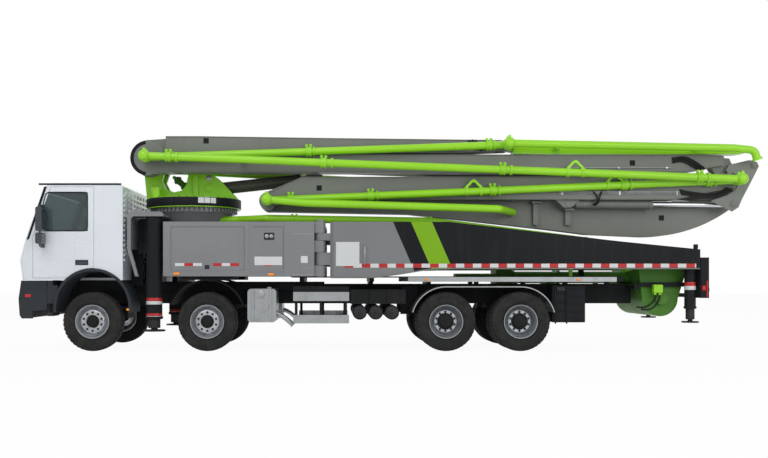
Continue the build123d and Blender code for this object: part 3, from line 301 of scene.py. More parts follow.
def buildWeatheredPaint():
    # road dust low down, faint run marks, uneven gloss and the paint's own fine ripple
    group, entry, leave = startGroup("weatheredPaint", {
        "Colour": (0.5, 0.5, 0.5, 1), "Dust Colour": (0.2, 0.18, 0.15, 1), "Dust": 0.3, "Streaks": 0.1,
        "Gloss Loss": 0.3, "Grain": 90.0, "Ripple": 0.05})
    place = objectPlace(group)
    low = rangeNode(group, objectAxes(group)["Z"], 0.15, 1.7, 1.0, 0.12)
    cloudy = noiseNode(group, place, 1.7, 4.0)
    fine = noiseNode(group, place, 22.0, 4.0)
    dusty = mathNode(group, "MULTIPLY", low, rangeNode(group, cloudy, 0.35, 0.7, 0.25, 1.0))
    dusty = mathNode(group, "MULTIPLY", dusty, rangeNode(group, fine, 0.3, 0.7, 0.6, 1.0))
    dusty = mathNode(group, "MULTIPLY", dusty, entry["Dust"], True)
    runs = rangeNode(group, noiseNode(group, place, 1.0, 3.0, 0.6, (11.0, 11.0, 0.7)), 0.52, 0.75, 0.0, 1.0)
    runs = mathNode(group, "MULTIPLY", runs, entry["Streaks"], True)
    tone = rangeNode(group, noiseNode(group, place, 0.55, 2.0), 0.3, 0.7, 0.93, 1.05)
    toned = mixColour(group, 1.0, entry["Colour"], tone, "MULTIPLY")
    streaked = mixColour(group, runs, toned, entry["Dust Colour"])
    wire(group, mixColour(group, dusty, streaked, entry["Dust Colour"]), leave["Colour"])
    dull = mathNode(group, "ADD", entry["Gloss Loss"], mathNode(group, "MULTIPLY", dusty, 0.45))
    dull = mathNode(group, "ADD", dull, rangeNode(group, fine, 0.3, 0.7, -0.04, 0.05), True)
    wire(group, dull, leave["Roughness"])
    bumped(group, noiseNode(group, place, entry["Grain"], 2.0), entry["Ripple"], 0.002, leave)
    return group


def buildWornMetal():
    # metal or rubber: pits, dull patches and dirt in the hollows
    group, entry, leave = startGroup("wornMetal", {
        "Colour": (0.6, 0.6, 0.6, 1), "Dirt Colour": (0.08, 0.07, 0.06, 1), "Dirt": 0.3, "Dullness": 0.35,
        "Pit Scale": 160.0, "Pit Depth": 0.15})
    place = objectPlace(group)
    patches = noiseNode(group, place, 6.0, 5.0, 0.62)
    pits = noiseNode(group, place, entry["Pit Scale"], 3.0, 0.6)
    dirty = mathNode(group, "MULTIPLY", rangeNode(group, patches, 0.4, 0.72, 0.0, 1.0), entry["Dirt"], True)
    wire(group, mixColour(group, dirty, entry["Colour"], entry["Dirt Colour"]), leave["Colour"])
    uneven = rangeNode(group, patches, 0.3, 0.75, -0.08, 0.22)
    wire(group, mathNode(group, "ADD", entry["Dullness"], uneven, True), leave["Roughness"])
    bumped(group, pits, entry["Pit Depth"], 0.0015, leave)
    return group


weatheredPaint = buildWeatheredPaint()
wornMetal = buildWornMetal()


# materials

def startMaterial(name):
    material = bpy.data.materials.new(name)
    material.use_nodes = True
    tree = material.node_tree
    shader = next(n for n in tree.nodes if n.type == "BSDF_PRINCIPLED")
    return material, tree, shader


def useGroup(tree, shader, group, values, colour=None):
    node = tree.nodes.new("ShaderNodeGroup")
    node.node_tree = group
    setValues(node, values)
    if colour is not None:
        wire(tree, colour, node.inputs["Colour"])
    for start, end in (("Colour", "Base Color"), ("Roughness", "Roughness"), ("Normal", "Normal")):
        wire(tree, node.outputs[start], shader.inputs[end])


roadDust = screenColour(104, 98, 88)

# colour, dust, streaks, dullness, ripple, coat, shine
paints = {
    "cabWhite": ((226, 232, 238), 0.16, 0.05, 0.24, 0.03, 0.4, 0.4),
    "bodyGrey": ((131, 132, 135), 0.16, 0.08, 0.36, 0.06, 0.15, 0.25),
    "boomGrey": ((120, 123, 118), 0.1, 0.1, 0.4, 0.07, 0.1, 0.2),
    "lime": ((150, 218, 32), 0.1, 0.06, 0.32, 0.06, 0.25, 0.3),
    # partly painted shade: a darker copy of the lime for parts set low or inside, plus heavier dust and
    # streaks
    "limeDustyAndShaded": ((76, 132, 44), 0.4, 0.22, 0.44, 0.1, 0.0, 0.2),
    "frameBlack": ((30, 32, 36), 0.1, 0.05, 0.46, 0.08, 0.0, 0.08),
    "chassisBlack": ((28, 30, 32), 0.14, 0.05, 0.6, 0.12, 0.0, 0.08),
    "trimGrey": ((46, 52, 58), 0.18, 0.04, 0.54, 0.15, 0.0, 0.15),
    "interiorDark": ((46, 48, 52), 0.05, 0.0, 0.72, 0.2, 0.0, 0.15),
    "signalRed": ((186, 32, 34), 0.15, 0.05, 0.3, 0.05, 0.2, 0.3),
    "plateWhite": ((214, 217, 218), 0.12, 0.04, 0.36, 0.03, 0.1, 0.3),
    # painted shade: the lift barrel's dark olive is the colour it shows in shadow under the boom
    "paintedShadeOlive": ((78, 84, 70), 0.12, 0.08, 0.4, 0.08, 0.1, 0.3),
}


def makePaint(name, settings):
    colour, dust, streaks, dull, ripple, coat, shine = settings
    material, tree, shader = startMaterial(name)
    useGroup(tree, shader, weatheredPaint, {
        "Colour": screenColour(*colour), "Dust Colour": roadDust, "Dust": dust, "Streaks": streaks,
        "Gloss Loss": dull, "Ripple": ripple})
    setValues(shader, {"Specular IOR Level": shine, "Coat Weight": coat, "Coat Roughness": 0.12})
    return material


finish = {name: makePaint(name, settings) for name, settings in paints.items()}

# colour, dirt, dullness, pit scale, pit depth
metals = {
    "brightAluminium": ((160, 163, 165), 0.25, 0.34, 90.0, 0.1),
    "rimSteel": ((176, 180, 184), 0.35, 0.36, 120.0, 0.12),
    "darkSteel": ((46, 48, 51), 0.5, 0.52, 60.0, 0.3),
    "rodChrome": ((205, 207, 210), 0.08, 0.14, 200.0, 0.03),
}
rubbers = {
    "tyreRubber": ((38, 39, 40), 0.55, 0.78, 130.0, 0.25),
    "hoseRubber": ((30, 30, 32), 0.3, 0.5, 260.0, 0.2),
}
scuffed = {"Dirt Colour": screenColour(70, 68, 64)}


def makeWorn(name, settings, more, surface):
    colour, dirt, dull, scale, depth = settings
    material, tree, shader = startMaterial(name)
    useGroup(tree, shader, wornMetal, {
        "Colour": screenColour(*colour), "Dirt": dirt, "Dullness": dull, "Pit Scale": scale,
        "Pit Depth": depth, **more})
    setValues(shader, surface)
    return material


def makeGlass(name, colour, see):
    material, tree, shader = startMaterial(name)
    setValues(shader, {"Base Color": screenColour(*colour), "Transmission Weight": see, "IOR": 1.45})
    film = noiseNode(tree, objectPlace(tree), 5.0, 4.0)
    tree.links.new(rangeNode(tree, film, 0.35, 0.75, 0.02, 0.12), shader.inputs["Roughness"])
    return material


def makeLamp(name, colour, glow):
    # a moulded lens with fine ribs, lit a little so that it reads as a lens and not as paint
    material, tree, shader = startMaterial(name)
    ribs = tree.nodes.new("ShaderNodeTexWave")
    ribs.inputs["Scale"].default_value = 60.0
    tree.links.new(objectPlace(tree), ribs.inputs["Vector"])
    shade = mixColour(tree, rangeNode(tree, ribs.outputs["Fac"], 0.0, 1.0, 0.0, 0.35),
                      screenColour(*colour), screenColour(*[int(v * 0.6) for v in colour]))
    tree.links.new(shade, shader.inputs["Base Color"])
    tree.links.new(shade, shader.inputs["Emission Color"])
    setValues(shader, {"Emission Strength": glow, "Roughness": 0.18})
    return material


for name, settings in metals.items():
    finish[name] = makeWorn(name, settings, {}, {"Metallic": 0.85})
for name, settings in rubbers.items():
    finish[name] = makeWorn(name, settings, scuffed, {"Specular IOR Level": 0.15})
finish["cabGlass"] = makeGlass("cabGlass", (120, 140, 142), 0.85)
finish["amberLens"] = makeLamp("amberLens", (236, 140, 28), 0.25)
finish["redLens"] = makeLamp("redLens", (190, 20, 18), 0.2)
finish["clearLens"] = makeLamp("clearLens", (225, 230, 232), 0.1)

armBands = {"lean": 0.435, "height": 2.38, "blackFrom": -0.05, "limeFrom": 0.276, "blackAgain": 0.656,
            "grey": (131, 132, 135), "lime": (128, 178, 38), "black": (26, 28, 32)}


mirrorsFrom = 1.2365     # beyond the door leaf's face, from the truck's middle plane


def between(tree, value, low, high):
    return mathNode(tree, "MULTIPLY", mathNode(tree, "GREATER_THAN", value, low),
                    mathNode(tree, "LESS_THAN", value, high))


def makeArmPaint():
    # grey at the hinge, then leaning black, green and black bands
    material, tree, shader = startMaterial("armPaint")
    axes = objectAxes(tree)
    above = mathNode(tree, "SUBTRACT", axes["Z"], armBands["height"])
    level = mathNode(tree, "ADD", axes["X"], mathNode(tree, "MULTIPLY", above, armBands["lean"]))
    colour = mixColour(tree, mathNode(tree, "GREATER_THAN", level, armBands["blackFrom"]),
                       screenColour(*armBands["grey"]), screenColour(*armBands["black"]))
    colour = mixColour(tree, between(tree, level, armBands["limeFrom"], armBands["blackAgain"]),
                       colour, screenColour(*armBands["lime"]))
    useGroup(tree, shader, weatheredPaint, {
        "Dust Colour": roadDust, "Dust": 0.14, "Streaks": 0.06, "Gloss Loss": 0.32, "Ripple": 0.05}, colour)
    setValues(shader, {"Specular IOR Level": 0.08, "Coat Weight": 0.04, "Coat Roughness": 0.15})
    return material


def makeDoorPaint():
    # white leaf; the mirrors that stand off it are dark moulded plastic
    material, tree, shader = startMaterial("doorPaint")
    fromMiddle = mathNode(tree, "ABSOLUTE", objectAxes(tree)["Y"])
    standOff = mathNode(tree, "GREATER_THAN", fromMiddle, mirrorsFrom)
    colour = mixColour(tree, standOff, screenColour(*paints["cabWhite"][0]),
                       screenColour(*paints["trimGrey"][0]))
    useGroup(tree, shader, weatheredPaint, {
        "Dust Colour": roadDust, "Dust": 0.16, "Streaks": 0.05, "Gloss Loss": 0.26, "Ripple": 0.03}, colour)
    setValues(shader, {"Coat Weight": 0.3, "Coat Roughness": 0.12})
    return material


finish["armPaint"] = makeArmPaint()
finish["doorPaint"] = makeDoorPaint()


nodeFinish = {
    "chassis_frame": "chassisBlack", "axles": "darkSteel", "cab_shell": "cabWhite", "windscreen": "cabGlass",
    "cab_interior": "interiorDark", "front_bumper": "trimGrey", "outrigger_base": "bodyGrey",
    "side_lockers": "bodyGrey", "pedestal": "bodyGrey", "deck_pipe": "lime", "deck": "frameBlack",
    # the hopper and pump take the darker lime, partly painted shade
    "bright_gear": "brightAluminium", "dark_gear": "chassisBlack", "hopper": "limeDustyAndShaded", "pump": "limeDustyAndShaded",
    "tail_frame": "frameBlack", "door_left": "doorPaint", "door_right": "doorPaint", "turret": "lime",
    "lift_barrel": "paintedShadeOlive", "lift_rod": "rodChrome", "boom_section_6": "lime",
}


# for the nodes not named above, by what their names contain
partFinish = (("tyre", "tyreRubber"), ("rim", "rimSteel"), ("knuckle", "darkSteel"),
              ("boom_section", "boomGrey"), ("boom_pipe", "lime"), ("front_outrigger", "frameBlack"),
              ("rear_outrigger", "armPaint"), ("jack", "darkSteel"))


def dressNodes():
    for name, piece in nodes.items():
        kind = nodeFinish.get(name) or next(kind for part, kind in partFinish if part in name)
        piece.data.materials.clear()
        piece.data.materials.append(finish[kind])


dressNodes()
print("materials made:", len(finish))


# wheels

tyreForm = {
    "halfWidth": 0.150, "steps": 120, "pitch": 3, "slotDepth": 0.012,
    "side": [(0.307, 0.118), (0.320, 0.129), (0.336, 0.1335), (0.338, 0.1375), (0.345, 0.1375),
             (0.348, 0.1405), (0.372, 0.1470), (0.405, 0.1500), (0.440, 0.1500), (0.4425, 0.1515),
             (0.449, 0.1515), (0.4515, 0.1490), (0.480, 0.1460), (0.500, 0.1415), (0.512, 0.1370),
             (0.526, 0.1290), (0.5345, 0.1180), (0.5370, 0.1020)],
    "grooves": [(0.074, 0.062), (0.028, 0.016)], "grooveFloor": 0.524, "crown": 0.539,
    "slotFrom": 0.516, "slotDepths": (0.078, 0.136)}
twinShift = tyreForm["halfWidth"] * 3 + 0.04     # from the outer face to the inner twin's middle
rimSteps = 60


def spunRound(name, profile, steps, closed=True):
    # an outline of (radius, depth) points spun about the wheel's own axis
    deselectAll()
    bpy.ops.mesh.primitive_plane_add(size=1)
    piece = bpy.context.object
    piece.name = name
    form = bmesh.new()
    knots = [form.verts.new((radius, depth, 0)) for radius, depth in profile]
    for first, second in zip(knots, knots[1:] + (knots[:1] if closed else [])):
        if first is not second:
            form.edges.new((first, second))
    form.to_mesh(piece.data)
    form.free()
    bpy.ops.object.mode_set(mode="EDIT")
    bpy.ops.mesh.select_all(action="SELECT")
    bpy.ops.mesh.spin(steps=steps, angle=2 * math.pi, center=(0, 0, 0), axis=(0, 1, 0))
    bpy.ops.object.mode_set(mode="OBJECT")
    return outwards(piece)


def extrudeInwards(piece, wanted, depth):
    # the wanted faces are pushed in to make slots or holes
    for face in piece.data.polygons:
        face.select = wanted(face)
    for edge in piece.data.edges:
        edge.select = False
    for point in piece.data.vertices:
        point.select = False
    for face in piece.data.polygons:
        if face.select:
            for index in face.vertices:
                piece.data.vertices[index].select = True
    choose(piece)
    bpy.ops.object.mode_set(mode="EDIT")
    bpy.ops.mesh.select_mode(type="FACE")
    bpy.ops.mesh.extrude_region_shrink_fatten(TRANSFORM_OT_shrink_fatten={"value": -depth})
    bpy.ops.mesh.select_mode(type="VERT")
    bpy.ops.object.mode_set(mode="OBJECT")
    return piece


def treadProfile():
    half = [(radius, -depth) for radius, depth in tyreForm["side"]]
    for outer, inner in tyreForm["grooves"]:
        half += [(tyreForm["crown"] - 0.001, -outer), (tyreForm["grooveFloor"], -outer + 0.002),
                 (tyreForm["grooveFloor"], -inner - 0.002), (tyreForm["crown"], -inner)]
    return half + [(radius, -depth) for radius, depth in reversed(half)]


def makeTyre():
    tyre = spunRound("tyreModel", treadProfile(), tyreForm["steps"])
    step = 2 * math.pi / tyreForm["steps"]

    def shoulder(face):
        centre = face.center
        radius = math.hypot(centre.x, centre.z)
        turn = int(math.floor((math.atan2(centre.z, centre.x) + math.pi) / step)) % tyreForm["pitch"]
        low, high = tyreForm["slotDepths"]
        return turn == 0 and radius > tyreForm["slotFrom"] and low < abs(centre.y) < high
    extrudeInwards(tyre, shoulder, tyreForm["slotDepth"])
    return smoothed(tyre, 32)


def rimBand(throat, shoulder):
    # the rim's rolled section; the two radii are where its front slope meets the well
    return [(0.3045, 0.000), (0.3075, 0.004), (0.3075, 0.010), (0.296, 0.020), (0.290, 0.034),
            (throat, 0.050), (shoulder, 0.075), (0.270, 0.150), (0.272, 0.225), (0.290, 0.268),
            (0.3045, 0.300), (0.2945, 0.300), (0.280, 0.262), (0.262, 0.225), (0.260, 0.150),
            (0.262, 0.078), (0.272, 0.046), (0.284, 0.024), (0.292, 0.008), (0.298, 0.001)]


frontRim = {
    "band": rimBand(0.280, 0.272),
    "disc": [(0.118, 0.046), (0.122, 0.040), (0.150, 0.037), (0.200, 0.037), (0.208, 0.041), (0.226, 0.066),
             (0.250, 0.094), (0.263, 0.100), (0.263, 0.112), (0.246, 0.106), (0.220, 0.078), (0.200, 0.051),
             (0.150, 0.051), (0.118, 0.060)],
    "hub": [(0.0, 0.012), (0.055, 0.013), (0.078, 0.018), (0.092, 0.028), (0.097, 0.040), (0.113, 0.046),
            (0.114, 0.110), (0.0, 0.110)],
    "boltCircle": 0.1675, "boltFace": 0.037}
rearRim = {
    "band": rimBand(0.281, 0.273),
    "disc": [(0.118, 0.140), (0.122, 0.134), (0.150, 0.131), (0.200, 0.131), (0.208, 0.136), (0.226, 0.160),
             (0.250, 0.184), (0.263, 0.190), (0.263, 0.202), (0.246, 0.196), (0.220, 0.172), (0.200, 0.145),
             (0.150, 0.145), (0.118, 0.154)],
    "hub": [(0.0, 0.042), (0.070, 0.044), (0.104, 0.052), (0.122, 0.066), (0.128, 0.082), (0.128, 0.104),
            (0.150, 0.112), (0.152, 0.128), (0.112, 0.132), (0.112, 0.200), (0.0, 0.200)],
    "boltCircle": 0.1735, "boltFace": 0.128}
boltCount = 10
handHoles = (0.214, 0.252)     # inner and outer radius


# part, radius, depth, how far it stands off the disc, corners
nutStack = [("nutSeat", 0.022, 0.010, 0.0, 16), ("nut", 0.017, 0.030, 0.013, 6),
            ("studEnd", 0.009, 0.012, 0.032, 10)]


def makeRim(label, form):
    # band, disc with its hand holes, hub cover and nuts; all face the driver's side, outer lip at zero
    band = spunRound(label + "Band", form["band"], rimSteps)
    plate = spunRound(label + "Disc", form["disc"], rimSteps)
    step = 2 * math.pi / rimSteps

    def hole(face):
        centre = face.center
        radius = math.hypot(centre.x, centre.z)
        turn = int(math.floor((math.atan2(centre.z, centre.x) + math.pi) / step)) % (rimSteps // boltCount)
        return turn in (0, 1) and handHoles[0] < radius < handHoles[1] and face.normal.y < -0.2
    extrudeInwards(plate, hole, 0.006)
    metalRim = smoothed(merged(label + "Metal", [band, plate]), 30)
    hub = smoothed(spunRound(label + "Hub", form["hub"], 40, closed=False), 30)
    nuts = []
    for number in range(boltCount):
        angle = 2 * math.pi * (number + 0.5) / boltCount
        x, z = form["boltCircle"] * math.cos(angle), form["boltCircle"] * math.sin(angle)
        for part, radius, depth, shift, corners in nutStack:
            nuts.append(disc(part, radius, depth, (x, form["boltFace"] - shift, z), (0, 1, 0), corners,
                             0.002))
    return metalRim, hub, merged(label + "Nuts", nuts)


def placeWheels():
    tyre = makeTyre()
    rimSets = {False: makeRim("frontRim", frontRim), True: makeRim("rearRim", rearRim)}
    for number in (1, 2, 3, 4):
        twin = number > 2
        for label, side in sides:
            low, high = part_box(f"tyre_{number}_{label}")
            axleX, axleZ = (low[0] + high[0]) / 2, (low[2] + high[2]) / 2
            outer = max(abs(low[1]), abs(high[1]))
            body = f"wheel_{number}_{label}"
            turn = Matrix.Identity(4) if side < 0 else acrossTruck
            depths = [tyreForm["halfWidth"]] + ([twinShift] if twin else [])
            treads = [copyOf(tyre, "tread", Matrix.Translation((axleX, side * (outer - depth), axleZ)) @ turn)
                      for depth in depths]
            tread = merged(f"tread{number}{label.title()}", treads)
            finished(tread, "tyreRubber", body)
            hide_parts(f"tyre_{number}_{label}")
            shift = Matrix.Translation((axleX, side * outer, axleZ)) @ turn
            for piece, kind in zip(rimSets[twin], ("rimSteel", "chassisBlack", "darkSteel")):
                part = copyOf(piece, f"{piece.name}{number}{label.title()}", shift)
                if kind == "rimSteel" and twin:
                    innerFace = outer - twinShift - tyreForm["halfWidth"]
                    inner = Matrix.Translation((axleX, side * innerFace, axleZ))
                    part = merged(part.name, [part, copyOf(piece, "innerRim", inner @ turn @ acrossTruck)])
                finished(part, kind, body)
                if kind == "rimSteel":
                    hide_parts(f"rim_{number}_{label}")
    for model in [tyre, *rimSets[False], *rimSets[True]]:
        bpy.data.objects.remove(model)


placeWheels()
print("wheels made")


# cab

cabForm = {
    "sideFace": 1.235, "windowOutline": [(-6.497, 2.186), (-5.566, 2.186), (-5.566, 2.882), (-6.314, 2.882)],
    "windowCorner": 0.07, "glassSet": 0.020, "glassDepth": 0.012, "sealRadius": 0.011,
    "handleCup": (0.235, 0.010, 0.092), "handleGrip": (0.19, 0.016, 0.030), "handlePlace": (-5.670, 1.611),
    "roofTrim": (-6.45, -4.95, 3.030), "creaseHeight": 1.674,
    "creases": {"door": (-6.01, 1.06), "cab": (-5.19, 0.49)},
    "rearFace": -4.929, "rearRibs": 9, "rearRibSpan": 2.0, "rearRibHeights": (1.75, 2.93)}


def softOutline(points, reach, steps=5):
    # the same outline with its corners rounded off
    out = []
    count = len(points)
    for number, corner in enumerate(points):
        corner = Vector(corner)
        before = Vector(points[number - 1])
        after = Vector(points[(number + 1) % count])
        start = corner + (before - corner).normalized() * reach
        end = corner + (after - corner).normalized() * reach
        for step in range(steps + 1):
            t = step / steps
            out.append(tuple(start * (1 - t) ** 2 + corner * 2 * t * (1 - t) + end * t ** 2))
    return out


def crease(name, which, side):
    x, length = cabForm["creases"][which]
    return slab(name, (length, 0.004, 0.007),
                (x, side * (cabForm["sideFace"] + 0.001), cabForm["creaseHeight"]), 0.0015, 1)


def makeDoorGear():
    outline = softOutline(cabForm["windowOutline"], cabForm["windowCorner"])
    for label, side in sides:
        face = side * cabForm["sideFace"]
        inner, outer = sorted(face - side * inset for inset in
                              (cabForm["glassSet"], cabForm["glassSet"] - cabForm["glassDepth"]))
        pane = prism("doorGlass" + label.title(), outline, inner, outer, 0)
        finished(pane, "cabGlass", f"door_{label}")
        ring = [(x, face + side * 0.001, z) for x, z in outline]
        seal = tube("doorSeal" + label.title(), ring + ring[:1], cabForm["sealRadius"], 8, smooth=False)
        finished(seal, "hoseRubber", f"door_{label}")
        x, z = cabForm["handlePlace"]
        cup = slab("handleCup", cabForm["handleCup"], (x, face + side * 0.002, z), 0.004)
        grip = slab("handleGrip", cabForm["handleGrip"], (x + 0.01, face + side * 0.016, z + 0.012), 0.007, 3)
        handle = merged("doorHandle" + label.title(), [cup, grip])
        finished(handle, "trimGrey", f"door_{label}")
        finished(crease("doorCrease" + label.title(), "door", side), "cabWhite", f"door_{label}")


def makeCabTrim():
    front, rear, height = cabForm["roofTrim"]
    trims = [slab("gutter", (rear - front, 0.014, 0.034),
                  ((front + rear) / 2, side * cabForm["sideFace"], height), 0.005) for _, side in sides]
    finished(merged("roofGutter", trims), "trimGrey", "root")
    low, high = cabForm["rearRibHeights"]
    span = cabForm["rearRibSpan"]
    ribs = [slab("rib", (0.022, 0.060, high - low),
                 (cabForm["rearFace"] + 0.008, -span / 2 + span * number / (cabForm["rearRibs"] - 1),
                  (high + low) / 2), 0.008) for number in range(cabForm["rearRibs"])]
    finished(merged("rearWallRibs", ribs), "cabWhite", "root")
    creases = [crease("crease", "cab", side) for _, side in sides]
    finished(merged("sideCrease", creases), "cabWhite", "root")


makeDoorGear()
makeCabTrim()
print("cab trimmed")


# locker doors, plates, lamps and tape on the body's sides

bodySide = {"face": 1.250, "panelRise": 0.005,
            "panels": [(-4.013, -2.770, 1.465, 2.250), (-2.628, -2.020, 1.440, 2.240)],
            "latch": (-3.398, 1.529), "coupling": (-2.275, 2.085),
            "lockerPlate": (-2.290, 1.640, 0.50, 0.155),
            "smallPlate": (-1.640, 1.665, 0.125, 0.125), "armPlate": (-0.855, 1.765, 0.425, 0.435),
            "holdBar": (-0.545, 1.560, 1.930), "tapeHeight": (1.547, 1.600), "armTapeHeight": (1.517, 1.590),
            "tapeThickness": 0.002}
lockerTape = [(-3.977, -3.809, "plateWhite"), (-3.809, -3.651, "signalRed"), (-3.651, -3.488, "plateWhite"),
              (-3.289, -3.132, "signalRed"), (-3.132, -2.982, "plateWhite"), (-2.982, -2.819, "signalRed"),
              (-2.366, -2.221, "signalRed")]
armTapeStart, armTapeEnd, tapePeriod, redWidth = -0.909, 5.45, 0.309, 0.157
sideLamps = [(-3.950, 1.408), (-2.240, 1.395)]
# part, radius, depth, how far it stands off the panel, corners, edge
socketParts = [("socket", 0.036, 0.034, 0.012, 24, 0.004), ("socketCore", 0.018, 0.046, 0.014, 16, 0.003)]


def sideSlab(name, box, side, rise, edge=0.002, segments=1):
    # a plate lying on the side face: its box is (x from, x to, z from, z to)
    x0, x1, z0, z1 = box
    return slab(name, (x1 - x0, rise, z1 - z0),
                ((x0 + x1) / 2, side * (bodySide["face"] + rise / 2 - 0.0005), (z0 + z1) / 2), edge, segments)


def around(place, size):
    return (place[0] - size[0] / 2, place[0] + size[0] / 2, place[1] - size[1] / 2, place[1] + size[1] / 2)


def makeLockerFronts():
    for label, side in sides:
        tag = label.title()
        panels = [sideSlab("panel", box, side, bodySide["panelRise"], 0.0035, 2)
                  for box in bodySide["panels"]]
        finished(merged("lockerPanels" + tag, panels), "bodyGrey", "root")
        face = side * (bodySide["face"] + bodySide["panelRise"])
        x, z = bodySide["latch"]
        latch = [slab("latchPlate", (0.085, 0.006, 0.075), (x, face, z), 0.002),
                 slab("latchGrip", (0.045, 0.016, 0.034), (x, face + side * 0.006, z), 0.004)]
        x, z = bodySide["coupling"]
        surround = slab("couplingFrame", (0.185, 0.010, 0.130), (x, face, z), 0.004)
        finished(merged("lockerLatch" + tag, latch + [surround]), "trimGrey", "root")
        rings = []
        for shift in (-0.040, 0.040):
            for part, radius, depth, rise, corners, edge in socketParts:
                rings.append(disc(part, radius, depth, (x + shift, face + side * rise, z), (0, 1, 0),
                                  corners, edge))
        finished(merged("couplings" + tag, rings), "brightAluminium", "root")
        plates = []
        for key in ("lockerPlate", "smallPlate"):
            x, z, width, height = bodySide[key]
            plates.append(sideSlab(key, around((x, z), (width, height)), side, bodySide["panelRise"] + 0.003))
        finished(merged("blankPlates" + tag, plates), "plateWhite", "root")
        for kind in ("plateWhite", "signalRed"):
            low, high = bodySide["tapeHeight"]
            strips = [sideSlab("tape", (x0, x1, low, high), side,
                               bodySide["panelRise"] + bodySide["tapeThickness"], 0.0006)
                      for x0, x1, shade in lockerTape if shade == kind]
            finished(merged(f"lockerTape{kind.title()}{tag}", strips), kind, "root")
        lamps = [slab("sideLamp", (0.110, 0.024, 0.046), (x, side * (bodySide["face"] + 0.010), z), 0.010, 3)
                 for x, z in sideLamps]
        finished(merged("sideLamps" + tag, lamps), "amberLens", "root")


def makeArmFittings():
    for label, side in sides:
        tag, body = label.title(), f"rear_outrigger_{label}"
        x, z, width, height = bodySide["armPlate"]
        plate = sideSlab("armPlate" + tag, around((x, z), (width, height)), side, 0.004)
        finished(plate, "plateWhite", body)
        x, low, high = bodySide["holdBar"]
        reach = side * (bodySide["face"] + 0.040)
        start = side * (bodySide["face"] - 0.005)
        bar = tube("holdBar" + tag, [(x, start, low), (x, reach, low + 0.03), (x, reach, high - 0.03),
                                     (x, start, high)], 0.011)
        finished(bar, "brightAluminium", body)
        low, high = bodySide["armTapeHeight"]
        strips = {"signalRed": [], "plateWhite": []}
        start = armTapeStart
        while start < armTapeEnd:
            end, nextStart = (min(start + length, armTapeEnd) for length in (redWidth, tapePeriod))
            for kind, x0, x1 in (("signalRed", start, end), ("plateWhite", end, nextStart)):
                if x1 > x0:
                    strips[kind].append(sideSlab("tape", (x0, x1, low, high), side, bodySide["tapeThickness"],
                                                 0.0006))
            start += tapePeriod
        finished(merged("armTapeRed" + tag, strips["signalRed"]), "signalRed", body)
        finished(merged("armTapeWhite" + tag, strips["plateWhite"]), "plateWhite", body)


armEdge = {"outline": [(-1.170, 1.330), (-0.357, 1.330), (0.10, 1.392), (0.638, 1.480), (1.100, 1.490),
                       (5.52, 1.490)],
           "height": 0.022, "proud": 0.010, "hingeLines": [(-1.88, -1.26, 2.126), (-1.44, -1.12, 2.075),
                                                         (-1.44, -1.12, 1.552), (-1.68, -1.45, 1.510),
                                                         (-1.88, -1.26, 1.385)]}


def makeArmFlange():
    # the turned-out lower edge of the arm
    for label, side in sides:
        low = armEdge["outline"]
        high = [(x, z + armEdge["height"]) for x, z in reversed(low)]
        y0, y1 = sorted((side * (bodySide["face"] - 0.01), side * (bodySide["face"] + armEdge["proud"])))
        flange = prism("armFlange" + label.title(), low + high, y0, y1, 0.003, 1)
        finished(flange, "boomGrey", f"rear_outrigger_{label}")


makeLockerFronts()
makeArmFittings()
makeArmFlange()
print("body sides made")


# pipe collars, elbows, brackets, hoses and trim on the boom sections

boomPins = {"front": (-2.329, 2.764), "upperRear": (6.325, 3.136), "upperFront": (-4.560, 3.560),
            "tip": (2.090, 3.790)}
pipes = {
    "3": {"body": "boom_3", "ends": ("front", "upperRear"), "depth": -0.930,
          "collars": (0.05, 0.22, 0.48, 0.76, 0.94)},
    "4": {"body": "boom_4", "ends": ("upperFront", "upperRear"), "depth": -1.125,
          "collars": (0.04, 0.3, 0.6, 0.93)},
    "5": {"body": "boom_5", "ends": ("upperFront", "tip"), "depth": -0.930, "collars": (0.06, 0.45, 0.95)}}
collar = {"radius": 0.098, "width": 0.026, "spacing": 0.076, "lug": (0.05, 0.036, 0.045), "bolt": 0.011}
elbow = {"radius": 0.091, "bulge": 0.055, "bandRadius": 0.104, "bandWidth": 0.028, "outerFace": -1.213,
         "bands": (-1.183, -1.030)}
archOutline = [(-0.158, 0.045), (-0.150, 0.100), (-0.095, 0.150), (-0.050, 0.205), (0, 0.222), (0.050, 0.205),
               (0.095, 0.150), (0.150, 0.100), (0.158, 0.045), (0.112, 0.045), (0.104, 0.085), (0.060, 0.118),
               (0.030, 0.158), (0, 0.168), (-0.030, 0.158), (-0.060, 0.118), (-0.104, 0.085), (-0.112, 0.045)]
archFeet = (-0.135, 0.135)
archPlaces = [("3", 1.472), ("4", 3.294), ("3", 4.081)]
squarePlates = [("boom_5", -3.479, 3.880, -0.830), ("boom_3", -1.379, 3.003, -0.830),
                ("boom_4", 4.436, 3.468, -0.830),
                ("boom_2", 5.103, 2.471, -0.480)]


def pipeEnds(pipe):
    return [boomPins[end] for end in pipe["ends"]]


def pipePoint(pipe, share):
    (x0, z0), (x1, z1) = pipeEnds(pipe)
    return x0 + (x1 - x0) * share, z0 + (z1 - z0) * share


def pipeHeight(pipe, x):
    (x0, z0), (x1, z1) = pipeEnds(pipe)
    return z0 + (z1 - z0) * (x - x0) / (x1 - x0)


def makeCollarPair():
    # two clamped bands and their bolted lugs, about a pipe along X through the origin
    parts = []
    for shift in (-collar["spacing"] / 2, collar["spacing"] / 2):
        parts.append(disc("band", collar["radius"], collar["width"], (shift, 0, 0), (1, 0, 0), 28, 0.005))
        parts.append(slab("lug", collar["lug"], (shift, 0, collar["radius"] + 0.014), 0.006))
        parts.append(disc("bolt", collar["bolt"], 0.062, (shift, 0, collar["radius"] + 0.018), (0, 1, 0), 8,
                          0.002))
    parts.append(disc("gasket", collar["radius"] - 0.012, collar["spacing"], (0, 0, 0), (1, 0, 0), 28, 0.003))
    return merged("collarPair", parts)


